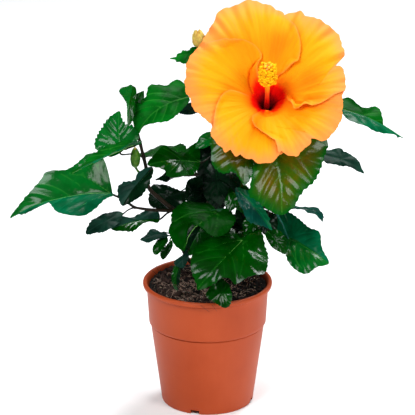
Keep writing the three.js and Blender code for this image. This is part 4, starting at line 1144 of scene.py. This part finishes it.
def petal_folds(radius, turn):
    """The waves that all petals share, so that one never cuts through the next."""
    rimward = smooth(38, 86, radius)
    broad = 0.6 * np.sin(13 * turn + 0.5) + 0.6 * np.sin(21 * turn + 1.9)
    frilled = 0.8 * np.sin(38 * turn + 0.4 + 0.06 * radius) + 0.7 * np.sin(57 * turn + 2)
    ribs = 0.35 * np.sin(31 * turn + 0.03 * radius) + 0.16 * np.sin(73 * turn)
    return rimward * broad + 0.9 * smooth(62, 90, radius) * frilled + smooth(16, 40, radius) * ribs


def add_petal(name, material):
    """A thin ruffled sheet from the claw to the rim, between the petal's two edges."""
    petal = PETALS[name]
    rows, columns = 84, 120
    side = np.linspace(-1, 1, columns)
    share = 0.5 + 0.5 * np.sign(side) * (1 - (1 - np.abs(side)) ** 1.25)
    # a column's end lies on the rim and on its own share of the way between the edges, found by steps
    rim = np.full(columns, 75.0)
    for _ in range(12):
        end = (1 - share) * listed(petal["free"], rim) + share * listed(petal["tucked"], rim)
        rim = 0.5 * rim + 0.5 * listed(petal["rim"], end)
    rim = rim + 0.8 * waves(1.1 * end, 0, 0, len(name), 4)
    radius = CLAW_RADIUS + (rim - CLAW_RADIUS) * np.linspace(0, 1, rows)[:, None]
    free, tucked = listed(petal["free"], radius), listed(petal["tucked"], radius)
    degrees = (1 - share) * free + share * tucked
    turn = np.radians(degrees)
    from_free = share * np.radians(tucked - free) * radius
    lift = PETAL_LIFT * (1 - smooth(0, 0.4, share) - smooth(0.6, 1, share)) * np.clip(radius / 16, 0, 1)
    turned_up = listed(petal["curl"], radius)
    furrow = hump(from_free, 8, 3.4) * turned_up
    curl = turned_up * np.exp(-((from_free / 4.5) ** 1.5)) - 0.36 * furrow
    throat = -THROAT_DEPTH * np.exp(-(radius - CLAW_RADIUS) / 2.6)
    height = funnel(radius, turn, SHOWN_RUFFLE) + throat + petal_folds(radius, turn) + lift + curl
    # the rolled strip beside the free edge
    scroll = 0.0
    if "scroll" in petal:
        inset = listed(petal["scroll"], radius)
        along = smooth(petal["scroll"][0][0], petal["scroll"][1][0], radius) * smooth(0, 5, inset)
        scroll = along * hump(from_free, inset, 1.4)
        height = height + 2.4 * along * hump(from_free / inset, 0.5, 0.3) - 2.8 * scroll
    # the lip and the furrow below the throat
    if name == "petal_lower_right":
        folds = 6.5 * hump(radius, 10.5, 2.2) + 1.6 * hump(radius, 20, 2) - 2.6 * hump(radius, 15.6, 2)
        height = height + hump(degrees, 270, 26) * folds
    middle = bloom_point(radius, turn, height)
    normal = unit(np.cross(np.gradient(middle, axis=0), np.gradient(middle, axis=1)))
    offset = normal * PETAL_THICKNESS / 2

    # the colour: how near the red eye, how pale, which is partly a painted highlight on the turned-up free
    # edges, and how deep, which is partly painted shading
    from_rim = rim - radius
    around = np.mod(degrees - EYE[0][0], 360) + EYE[0][0]
    eye = listed(EYE, around) * (1 + 0.05 * waves(0.2 * degrees, 0, 0, 3, 2))
    cloud = waves(radius * np.cos(turn) / 14, radius * np.sin(turn) / 14, 0, 8)
    pale = 0.95 * np.exp(-((from_rim / (11 + 5 * cloud)) ** 1.6))
    # a paler free edge, partly the petal's own margin and partly a painted highlight on the turned-up lip
    pale = pale + 0.5 * np.exp(-from_free / (1.0 + 0.2 * turned_up)) * smooth(15, 24, radius)
    # painted shading: deeper orange where the next petal's free edge overlies this one, in the furrow and
    # inside the rolled strip
    deep = 0.55 * smooth(0.66, 0.84, share) * smooth(16, 26, radius) + 0.06 * furrow + 0.9 * scroll
    for centre, out, spread, reach, amount in DEEP_ORANGE_AND_SHADING:
        off = np.mod(degrees - centre + 180, 360) - 180
        deep = deep + amount * hump(off, 0, spread) * hump(radius, out, reach)
    deep = deep - 0.5 * pale + 0.2 * cloud
    tone = np.stack([radius / eye / 3, np.clip(pale, 0, 1), np.clip(deep, 0, 1)], -1)
    grain = np.stack([degrees / 2.0, radius / 26, 0 * radius + len(name)], -1)

    # the two faces and the edge between them
    index = np.arange(rows * columns).reshape(rows, columns)
    top = np.stack([index[:-1, :-1], index[1:, :-1], index[1:, 1:], index[:-1, 1:]], -1).reshape(-1, 4)
    border = np.concatenate([index[0, :], index[1:, -1], index[-1, -2::-1], index[-2:0:-1, 0]])
    after = np.roll(border, -1)
    edge = np.stack([after, after + index.size, border + index.size, border], -1)
    cells = Cells(2)
    shell = Shell()
    shell.add(
        np.stack([middle + offset, middle - offset]),
        np.concatenate([top, top[:, ::-1] + index.size, edge]),
        0,
        uv=np.stack([cells.place(radius * np.cos(turn), radius * np.sin(turn)) for _ in range(2)]),
        tone=np.stack([tone, tone]),
        grain=np.stack([grain, grain]),
    )
    make_piece(name + "_fine", shell, [material], [name], sharp=70)


def column_point(u):
    """The point at share u of the stamen column's length."""
    height = CALYX_TOP + GAP + COLUMN_LENGTH * u
    return BLOOM + BLOOM_AXIS * height + BLOOM_UP * COLUMN_LIFT * COLUMN_LENGTH * u * u


def add_column():
    """The staminal column with its filaments, anthers and stigma lobes."""
    ways = (0, 0.25, 0.5, 0.66, 0.74, 0.86, 1)
    path = [BLOOM - BLOOM_AXIS * COLUMN_ROOT, *(column_point(u) for u in ways)]
    shaft = Shell()
    shaft.tube(Limb(path, [2.5, 2.9, 2.4, 2.2, 2.6, 6.2, 7.0, 4.0]).rings(48, 16))
    nodes = Nodes("stamen_column_red", 0.5, 0.4)
    low, high = BLOOM[2] * MM, (BLOOM[2] + COLUMN_LENGTH * 0.8) * MM
    way = nodes.rescale(nodes.split(nodes.place())["Z"], low, high, 0.0, 1.0)
    nodes.colour(
        nodes.tint(way, (0.05, 150, 2, 4), (0.22, 214, 16, 6), (0.42, 236, 84, 20), (0.56, 244, 160, 14))
    )
    nodes.bump(nodes.noise(400, 2), 0.2, 0.2)
    make_piece("stamen_shaft", shaft, [nodes.material], ["stamen_column"])

    draw = seeded(11)
    filaments, anthers, stigmas = Shell(), Shell(), Shell()
    along = unit(column_point(1) - column_point(0.9))
    sideways = np.array([BLOOM_RIGHT, np.cross(along, BLOOM_RIGHT)])
    ball = blob(1.0, 6, 8)
    for i in range(ANTHERS):
        outward = unit(toward(i * ANTHER_TURN) @ sideways + along * (0.1 + 0.5 * draw()))
        length = 5.4 + 3.2 * draw()
        foot = column_point(0.68 + 0.29 * i / ANTHERS)
        tip = foot + outward * length + along * (0.8 * draw() - 0.2)
        thread = Limb([foot, foot + outward * length * 0.55 + along * 0.3, tip], [0.26, 0.2, 0.18])
        filaments.tube(thread.rings(5, 5))
        anthers.grid(tip + ball * (1.15 + 0.45 * draw()) * np.array([1.25, 1.0, 0.9]), wrap=True)
    foot = column_point(0.97)
    for turn in circle(5):
        outward = unit(0.75 * (toward(turn) @ sideways) + along)
        lobe = Limb([foot, foot + outward * 3, foot + outward * 5], [0.5, 0.42, 0.4])
        filaments.tube(lobe.rings(5, 6))
        stigmas.grid(foot + outward * 5 + ball * 1.7, wrap=True)
    thread_yellow = plain_material("filament_yellow", (246, 160, 10), (250, 190, 24), 0.6, 0.1)
    pollen = plain_material("pollen_yellow", (246, 160, 2), (250, 204, 16), 0.8, 0.1, 900, 0.3)
    orange = plain_material("stigma_orange", (248, 166, 8), (252, 198, 22), 0.8)
    make_piece("stamen_filaments", filaments, [thread_yellow])
    make_piece("stamen_anthers", anthers, [pollen])
    make_piece("stigma_lobes", stigmas, [orange])


def blob(radius, rows, columns, seed=0, rough=0.0):
    """Rings of points round a ball, uneven by the share rough."""
    rise, turn = np.meshgrid(np.linspace(-math.pi / 2, math.pi / 2, rows), circle(columns), indexing="ij")
    x, y, z = np.cos(rise) * np.cos(turn), np.cos(rise) * np.sin(turn), np.sin(rise)
    uneven = 1 + rough * waves(2.2 * x, 2.2 * y, 2.2 * z, seed + 1, 2)
    return radius * np.stack([x, y, z], -1) * uneven[..., None]


def add_flower_stalk():
    """The stalk, the calyx cup with its five lobes, and the ring of narrow bracts."""
    shell = Shell()
    shell.tube(BLOOM_STALK.rings(40, 14, bump_at([0.62], 0.03, 0.5)))
    turns = circle(40)
    profile = [(-15, 1.5), (-14.6, 2.8), (-13, 5), (-10, 6.6), (-6, 7.2), (-3, 7), (-1.2, 6.5), (-1.4, 6.1),
               (-2.6, 5.8), (-6, 5), (-12, 4.2)]
    cup = [bloom_point(radius * (1 + 0.05 * np.cos(5 * turns)), turns, height) for height, radius in profile]
    shell.tube(np.array(cup))
    # count, turn of the first, path as (radius, height), and half-widths
    lobes = (5, 62, [(5.0, -5), (7.4, -2.5), (9.8, 1), (14, 6.8), (18, 12.5)], [2.9, 4.1, 4.6, 2.8, 0.3])
    bracts = (7, 80, [(3, -13), (6, -10.5), (10, -7), (13, -3), (16, 2)], [0.9, 1.3, 1.5, 1.1, 0.2])
    for count, first, path, widths in (lobes, bracts):
        u = np.linspace(0, 1, 12)
        marks = np.linspace(0, 1, len(path))
        radius, height, half = (np.interp(u, marks, values)[:, None] for values in (*zip(*path), widths))
        v = np.linspace(-1, 1, 7)
        spread = half / radius * v
        bow = 0.8 * (1 - v**2) * half / max(widths)
        for turn in math.radians(first) + circle(count):
            outer = bloom_point(radius + bow, turn + spread, height - 0.2 * bow)
            inner = bloom_point(radius + bow - 0.45, turn + spread, height + 0.2)
            shell.grid(outer, flip=True)
            shell.grid(inner)
            for edge in (0, -1):
                shell.grid(np.stack([outer[:, edge], inner[:, edge]], 1), flip=edge == 0)
    make_piece("flower_stalk", shell, [CALYX], ["bloom_stalk"])


def add_bud(shell, base, tip, radius, shut):
    """A bud: slot 0 is its rolled petals, slot 1 its calyx, which covers more of a bud that is shut."""
    base, chord = np.array(base, float), np.subtract(tip, base)
    length = np.linalg.norm(chord)
    along = chord / length
    across = unit(BLOOM_RIGHT - along * along[0])
    third = np.cross(along, across)
    turns = circle(40)

    def skin(shares, radii, ridge, twist, slot, torn=0.0):
        rings = []
        for u, share in zip(shares, radii):
            around = radius * share * (1 + ridge * np.abs(np.sin(2.5 * (turns + twist * u))))
            rise = length * u * (1 + torn * u**3 * (np.sin(3 * turns + 1) + np.sin(8 * turns)))
            rings.append(ring(base + np.outer(rise, along), around, turns, across, third))
        shell.tube(np.array(rings), slot)

    us = np.linspace(0.15, 1, 18)
    if shut:
        skin(us, np.interp(us, [0.1, 0.4, 0.8, 1], [0.4, 0.5, 0.34, 0.06]), 0.14, 3.2, 0)
    else:
        skin(us, np.interp(us, [0.1, 0.35, 0.6, 0.9, 1], [0.8, 1.0, 0.94, 0.7, 0.4]), 0.2, 1.2, 0, torn=0.06)
    us = np.linspace(0, 0.88 if shut else 0.42, 14)
    skin(us, np.interp(us, [0, 0.1, 0.4, 0.7, 0.92], [0.35, 0.78, 1.0, 0.84, 0.4]), -0.1, 0.2, 1)


# The plant is put together
def build_foliage():
    """The leaves that the photograph shows, and where it shows none, those that the rule grows."""
    leaf_points = [point for leaves in LEAVES.values() for leaf in leaves for point in leaf.samples()]
    leaf_points.extend(bloom_samples())
    limbs = [TRUNK, BLOOM_STALK, *BOUGHS.values(), *STEMS.values()]
    limb_points = [limb.at(i / 12) for limb in limbs for i in range(13)]
    for name, stem in STEMS.items():
        if name in GROWN:
            build_mass(name, stem, grow(stem, leaf_points, limb_points, **GROWN[name]))
        else:
            build_mass(name, stem, LEAVES[name])


def build_mass(name, stem, leaves):
    """One mass: its blades, veins, stalks and shoot, and its bud where it has one."""
    tints = list(dict.fromkeys(tint for leaf in leaves for tint in leaf.tints))
    blades, veins, stalks, shoot, bud = (Shell() for _ in range(5))
    cells = Cells(2 * len(leaves))
    nodes = []
    for leaf in leaves:
        slots = tints.index(leaf.tints[0]), tints.index(leaf.tints[-1]), len(tints)
        add_blade(blades, leaf, cells, slots)
        add_veins(veins, leaf)
        limb, at = petiole(leaf, stem)
        nodes.append(at)
        steps = max(8, int(limb.length() / 2.5))
        stalks.tube(limb.rings(steps, 8, bump_at([0.0, 0.66], 0.05, 0.25)), int(leaf.green_stalk))
    materials = [LEAF_TINTS[tint] for tint in (*tints, "underside")]
    make_piece(name + "_blades", blades, materials, [name])
    make_piece(name + "_veins", veins, [VEIN_PALE, VEIN_GREEN])
    # a green stalk takes the blue-grey leaf colour, with its painted reflection
    make_piece(name + "_stalks", stalks, [STALK, LEAF_TINTS["slate"]])
    steps = max(14, int(stem.length() / 1.2))
    shoot.tube(stem.rings(steps, 12, bump_at(nodes, 0.025, 0.35)))
    make_piece(name + "_shoot", shoot, [SHOOT])
    if name in BUDS:
        base, tip, radius, shut = BUDS[name]
        add_bud(bud, base, tip, radius, shut)
        if shut:
            bud.tube(Limb([stem.points[2], base], [1.2, 1.1]).rings(10, 8), 1)
        petals = plain_material(name + "_bud_petal", (186, 140, 66), (216, 196, 92), 0.7, 0.15, 240, 0.6)
        make_piece(name + "_buds", bud, [petals, CALYX])


def bark_relief(seed, amount):
    """Ridges along a limb, for its rings."""
    def relief(u, turns):
        x, y = np.cos(turns), np.sin(turns)
        fine = waves(9 * x, 9 * y, 22 * u, seed + 9, 2)
        return amount * (waves(3.5 * x, 3.5 * y, 9 * u, seed) + 0.5 * fine)

    return relief


def build_wood():
    shell = Shell()
    shell.tube(TRUNK.rings(70, 40, bump_at([0.72], 0.12, 1.2), bark_relief(3, 0.5)))
    scars = bump_at([0.22, 0.4, 0.57, 0.75, 0.92], 0.018, 0.4)
    for i, bough in enumerate(BOUGHS.values()):
        shell.tube(bough.rings(90, 26, scars, bark_relief(20 + i, 0.28)))
    make_piece("woody_stems", shell, [bark_material()], ["trunk", *BOUGHS])


def lathe(profile, sides):
    """Rings of points round the pot's axis from (radius, height) pairs."""
    turns = circle(sides)
    x, y = np.cos(turns), np.sin(turns)
    return np.array([np.stack([radius * x, radius * y, height + 0 * x], -1) for radius, height in profile])


def between(start, end, shares):
    """The pairs at shares of the way from start to end."""
    return [np.array(start) + share * np.subtract(end, start) for share in shares]


def build_pot():
    """The pot, from its profile along the underside, up the outside, over the lip and down inside."""
    lip = POT_HEIGHT - RIM_DEPTH
    foot_ring = FOOT_RADIUS - FOOT_RING_WIDTH
    profile = [
        (0, 0),
        (CENTRE_DISC_RADIUS, 0),
        (CENTRE_DISC_RADIUS + 1, CHANNEL_HEIGHT),
        (foot_ring - 1, CHANNEL_HEIGHT),
        (foot_ring, 0),
        (FOOT_RADIUS - 0.9, 0),
        (FOOT_RADIUS - 0.25, 0.3),
        (FOOT_RADIUS + 0.1, 1.1),
        *between((FOOT_RADIUS, 0), (WALL_TOP_RADIUS, WALL_TOP_HEIGHT), np.linspace(0.05, 0.99, 16)),
        (WALL_TOP_RADIUS, WALL_TOP_HEIGHT + 0.8),
        (WALL_TOP_RADIUS - 0.7, WALL_TOP_HEIGHT + 1.5),
        (WALL_TOP_RADIUS - 0.7, WALL_TOP_HEIGHT + 2.4),
        (BAND_FOOT_RADIUS - 0.5, BAND_FOOT_HEIGHT - 0.8),
        (BAND_FOOT_RADIUS, BAND_FOOT_HEIGHT),
        *between((BAND_FOOT_RADIUS, BAND_FOOT_HEIGHT), (BAND_TOP_RADIUS, lip), np.linspace(0.05, 0.95, 8)),
        (BAND_TOP_RADIUS, lip - 1.4),
        (BAND_TOP_RADIUS - 0.7, lip - 0.9),
        (BAND_TOP_RADIUS - 0.5, lip),
        (RIM_RADIUS - 1.2, lip),
        (RIM_RADIUS - 0.4, lip + 0.5),
        (RIM_RADIUS, lip + RIM_DEPTH / 2),
        (RIM_RADIUS - 0.25, POT_HEIGHT - 1.2),
        (RIM_RADIUS - 1.0, POT_HEIGHT - 0.35),
        (RIM_RADIUS - 2.0, POT_HEIGHT),
        (RIM_RADIUS - 3.2, POT_HEIGHT - 0.2),
        (RIM_RADIUS - WALL - 2.4, POT_HEIGHT - 0.9),
        (BAND_TOP_RADIUS - WALL + 0.4, lip + 1.2),
        (BAND_TOP_RADIUS - WALL, lip - 1),
        (BAND_FOOT_RADIUS - WALL, BAND_FOOT_HEIGHT),
        (WALL_TOP_RADIUS - WALL, WALL_TOP_HEIGHT),
        (FOOT_RADIUS - WALL + 1, FLOOR_TOP),
        (0, FLOOR_TOP),
    ]
    shell = Shell()
    shell.grid(lathe(profile, POT_SIDES), wrap=True)
    nodes = Nodes("pot_plastic", 0.46, 0.2)
    cloudy = nodes.tint(nodes.noise(18, 4), (0.3, 170, 66, 28), (0.7, 180, 74, 34))
    streaked = nodes.fade(nodes.noise(9, 5, 0.6, nodes.place((6, 6, 0.6))), 0.45, 0.8, 0.0, 0.25)
    nodes.colour(nodes.mix(streaked, cloudy, srgb(190, 86, 46)))
    nodes.bump(nodes.noise(700, 2), 0.12, 0.15)
    cut_openings(make_piece("nursery_pot", shell, [nodes.material], ["pot"], sharp=35))


def cut_openings(pot):
    """The notches in the foot ring and the drain holes in the channel behind it."""
    channel = (CENTRE_DISC_RADIUS + FOOT_RADIUS - FOOT_RING_WIDTH) / 2 * MM
    for i in range(NOTCHES):
        turn = math.radians(NOTCH_TURN + 360 / NOTCHES * i)
        bpy.ops.mesh.primitive_cube_add(size=1)
        notch = bpy.context.object
        notch.scale = Vector((12, NOTCH_WIDTH, 2 * NOTCH_HEIGHT)) * MM
        notch.location = (*toward(turn) * FOOT_RADIUS * MM, 0)
        notch.rotation_euler = (0, 0, turn)
        bpy.ops.mesh.primitive_cylinder_add(vertices=32, radius=DRAIN_RADIUS * MM, depth=6 * MM)
        drain = bpy.context.object
        drain.location = (*toward(turn + math.pi / NOTCHES) * channel, (FLOOR_TOP - 0.8) * MM)
        bpy.context.view_layer.objects.active = pot
        for tool in (notch, drain):
            cut = pot.modifiers.new("cut", "BOOLEAN")
            cut.operation = "DIFFERENCE"
            cut.object = tool
            cut.solver = "EXACT"
            bpy.ops.object.modifier_apply(modifier=cut.name)
            bpy.data.objects.remove(tool, do_unlink=True)


def soil_height(x, y):
    """The uneven top of the potting mix."""
    radius = math.hypot(x, y)
    lumps = noise.fractal(Vector((x / 9, y / 9, 0.3)), 0.9, 2.1, 5)
    low = math.sin(0.31 * x + 1.3) * math.cos(0.27 * y) + 0.7 * math.sin(0.63 * x + 0.41 * y)
    rise = 3.8 * min(1, max(0, radius - 24) / 20) - 0.8 * max(0, radius - 17) / 40
    return SOIL_HEIGHT + 0.9 * low * min(1, max(0, radius - 12) / 8) + rise + 1.1 * lumps


def is_light_patch(x, y):
    """Whether the mix at this place is light and fibrous, and not dark and bare."""
    return noise.noise(Vector((x / 6.5, y / 6.5, 5.3))) > -0.06


def on_soil(x, y, lift):
    """A point above the top of the mix."""
    return np.array([x, y, soil_height(x, y) + lift])


def build_soil():
    """The mix and what lies on it. One run of random numbers places it all."""
    draw = seeded(77)
    build_soil_body()
    add_crumbs(draw)
    add_clumps(draw)
    add_strands()
    add_fibres(draw)


def build_soil_body():
    """The mix from its uneven top down the inside of the pot."""
    sides = 220
    top = [
        [on_soil(radius * math.cos(turn), radius * math.sin(turn), 0) for turn in circle(sides)]
        for radius in np.linspace(0.4, SOIL_RADIUS - 0.2, 84)
    ]
    bottom = CHANNEL_HEIGHT + WALL + GAP
    wall = [
        (SOIL_RADIUS - 0.6, SOIL_HEIGHT - 5),
        (BAND_FOOT_RADIUS - WALL - GAP, BAND_FOOT_HEIGHT),
        (WALL_TOP_RADIUS - WALL - GAP, WALL_TOP_HEIGHT),
        (FOOT_RADIUS - WALL + 0.4, bottom),
        (0.4, bottom),
    ]
    shell = Shell()
    shell.tube(np.concatenate([top, lathe(wall, sides)])[::-1])
    nodes = Nodes("potting_mix", 0.95, 0.2)
    fine = nodes.noise(260, 8, 0.7)
    nodes.colour(nodes.tint(fine, (0.3, 5, 3, 2), (0.46, 10, 7, 5), (0.58, 30, 21, 17), (0.7, 84, 66, 56)))
    nodes.bump(fine, 1.0, 1.2)
    make_piece("potting_mix_body", shell, [nodes.material], ["potting_mix"], sharp=80)


def add_crumbs(draw):
    """Small uneven crumbs in five tones. Where the mix is light, the lighter tones are picked more often."""
    tones = {
        "dark": ((5, 3, 2), (16, 11, 8)),
        "brown": ((34, 22, 17), (74, 50, 39)),
        "tan": ((120, 100, 82), (176, 154, 130)),
        "red": ((64, 32, 22), (98, 54, 40)),
        "grey": ((60, 56, 54), (130, 124, 120)),
    }
    crumbs = {tone: Shell() for tone in tones}
    shapes = [blob(1, 5, 7, seed, 0.5) for seed in range(12)]
    for _ in range(SOIL_CRUMBS):
        x, y = (SOIL_RADIUS - 2.5) * math.sqrt(draw()) * toward(2 * math.pi * draw())
        size = 0.3 + 0.95 * draw() ** 2.2
        stretch = np.array([0.7 + draw(), 0.7 + draw() * 0.6, 0.5 + 0.4 * draw()])
        cosine, sine = toward(2 * math.pi * draw())
        shape = shapes[int(len(shapes) * draw())] * stretch * size
        turned = shape @ np.array([[cosine, sine, 0], [-sine, cosine, 0], [0, 0, 1]])
        pick = draw() ** ((0.6 if x < 0 else 1.2) if is_light_patch(x, y) else 3.0)
        tone = list(tones)[bisect.bisect([0.5, 0.8, 0.88, 0.95], pick)]
        crumbs[tone].grid(on_soil(x, y, 0.3 * size) + turned, wrap=True)
    for tone, (dark, light) in tones.items():
        material = plain_material("crumb_" + tone, dark, light, 0.95, 0.2, 500, 0.3)
        make_piece("soil_crumbs_" + tone, crumbs[tone], [material], sharp=80)


def add_clumps(draw):
    """Larger clumps on the left, from the back round to the front."""
    clumps = Shell()
    for _ in range(SOIL_CLUMPS):
        x, y = (16 + 38 * math.sqrt(draw())) * toward(math.radians(120 + 150 * draw()))
        size = 1.2 + 2.0 * draw() ** 1.6
        stretch = np.array([0.8 + 0.6 * draw(), 0.8 + 0.6 * draw(), 0.5 + 0.4 * draw()])
        shape = blob(1, 8, 12, int(100 * draw()), 0.55) * stretch * size
        clumps.grid(on_soil(x, y, 0.2 * size) + shape, wrap=True)
    clump = plain_material("soil_clump", (10, 7, 6), (70, 52, 46), 0.95, 0.1, 420, 0.8)
    make_piece("soil_clumps", clumps, [clump], sharp=80)


def add_strands():
    strands = Shell()
    for path in STRANDS:
        strands.tube(Limb(path, [0.16, 0.2, 0.14]).rings(16, 5))
    root_dark = plain_material("root_strand", (50, 34, 26), (96, 60, 44), 0.9)
    make_piece("soil_strands", strands, [root_dark])


def add_fibres(draw):
    """Curved root fibres, where the mix is light."""
    fibres = Shell()
    for _ in range(SOIL_FIBRES):
        x, y = (SOIL_RADIUS - 8) * math.sqrt(draw()) * toward(math.radians(205 + 200 * (draw() - draw())))
        spin = 2 * math.pi * draw()
        length = 3 + 12 * draw() ** 2
        bend = (draw() - 0.5) * 2.4
        path = []
        if not is_light_patch(x, y):
            continue
        for i in range(6):
            if math.hypot(x, y) > SOIL_RADIUS - 2:
                break
            path.append(on_soil(x, y, 0.5 + 1.6 * math.sin(math.pi * i / 5) * draw()))
            x, y = (x, y) + length / 5 * toward(spin + bend * i / 5)
        if len(path) > 2:
            fibres.tube(Limb(path, [0.13] * len(path)).rings(10, 4))
    root_light = plain_material("root_fibre", (100, 66, 52), (206, 176, 156), 0.9)
    make_piece("soil_fibres", fibres, [root_light])


def build_flower():
    material = petal_material()
    for name in PETALS:
        add_petal(name, material)
    add_column()
    add_flower_stalk()


# Studio
CAMERA_PLACE = (0, -2500, 1121)
CAMERA_PITCH = 20.12
LENS = 232.3
SENSOR = 36
LOOK_AT = Vector((0.0, 0.0, 0.22))


def build_studio():
    """The camera at the photograph's angle, the pale floor and the soft lights."""
    scene = bpy.context.scene
    camera = add_object("camera", bpy.data.cameras.new("camera"))
    camera.data.lens = LENS
    camera.data.sensor_width = SENSOR
    camera.data.clip_end = 50
    camera.location = Vector(CAMERA_PLACE) * MM
    camera.rotation_euler = (math.radians(90 - CAMERA_PITCH), 0, 0)
    scene.camera = camera

    bpy.ops.mesh.primitive_plane_add(size=30)
    floor = bpy.context.object
    floor.name = "floor"
    pale = Nodes("floor_pale", 0.9, 0.1)
    pale.colour(pale.fade(pale.noise(0.4, 2), 0.3, 0.7, 0.93, 0.95))
    floor.data.materials.append(pale.material)

    # turn, rise, distance, size, power and colour of each soft light
    lights = {
        "key": (-124, 46, 2.0, 1.0, 30, (0.94, 0.98, 1.0)),
        "top": (60, 60, 2.2, 1.0, 60, (0.96, 0.98, 1.0)),
        "fill": (-44, 26, 2.2, 0.9, 22, (1.0, 0.98, 0.96)),
    }
    for name, (turn, rise, distance, size, power, colour) in lights.items():
        lamp = bpy.data.lights.new(name, "AREA")
        lamp.shape = "DISK"
        lamp.size = size
        lamp.energy = power
        lamp.color = colour
        away = Vector(heading(turn, rise))
        made = add_object(name, lamp)
        made.location = LOOK_AT + away * distance
        made.rotation_euler = away.to_track_quat("Z", "Y").to_euler()

    world = bpy.data.worlds.new("studio")
    world.use_nodes = True
    sky = world.node_tree.nodes["Background"].inputs
    sky["Color"].default_value = (0.95, 0.97, 1, 1)
    sky["Strength"].default_value = 0.14
    scene.world = world
    scene.view_settings.view_transform = "Standard"


build_studio()
build_pot()
build_soil()
build_wood()
build_foliage()
build_flower()
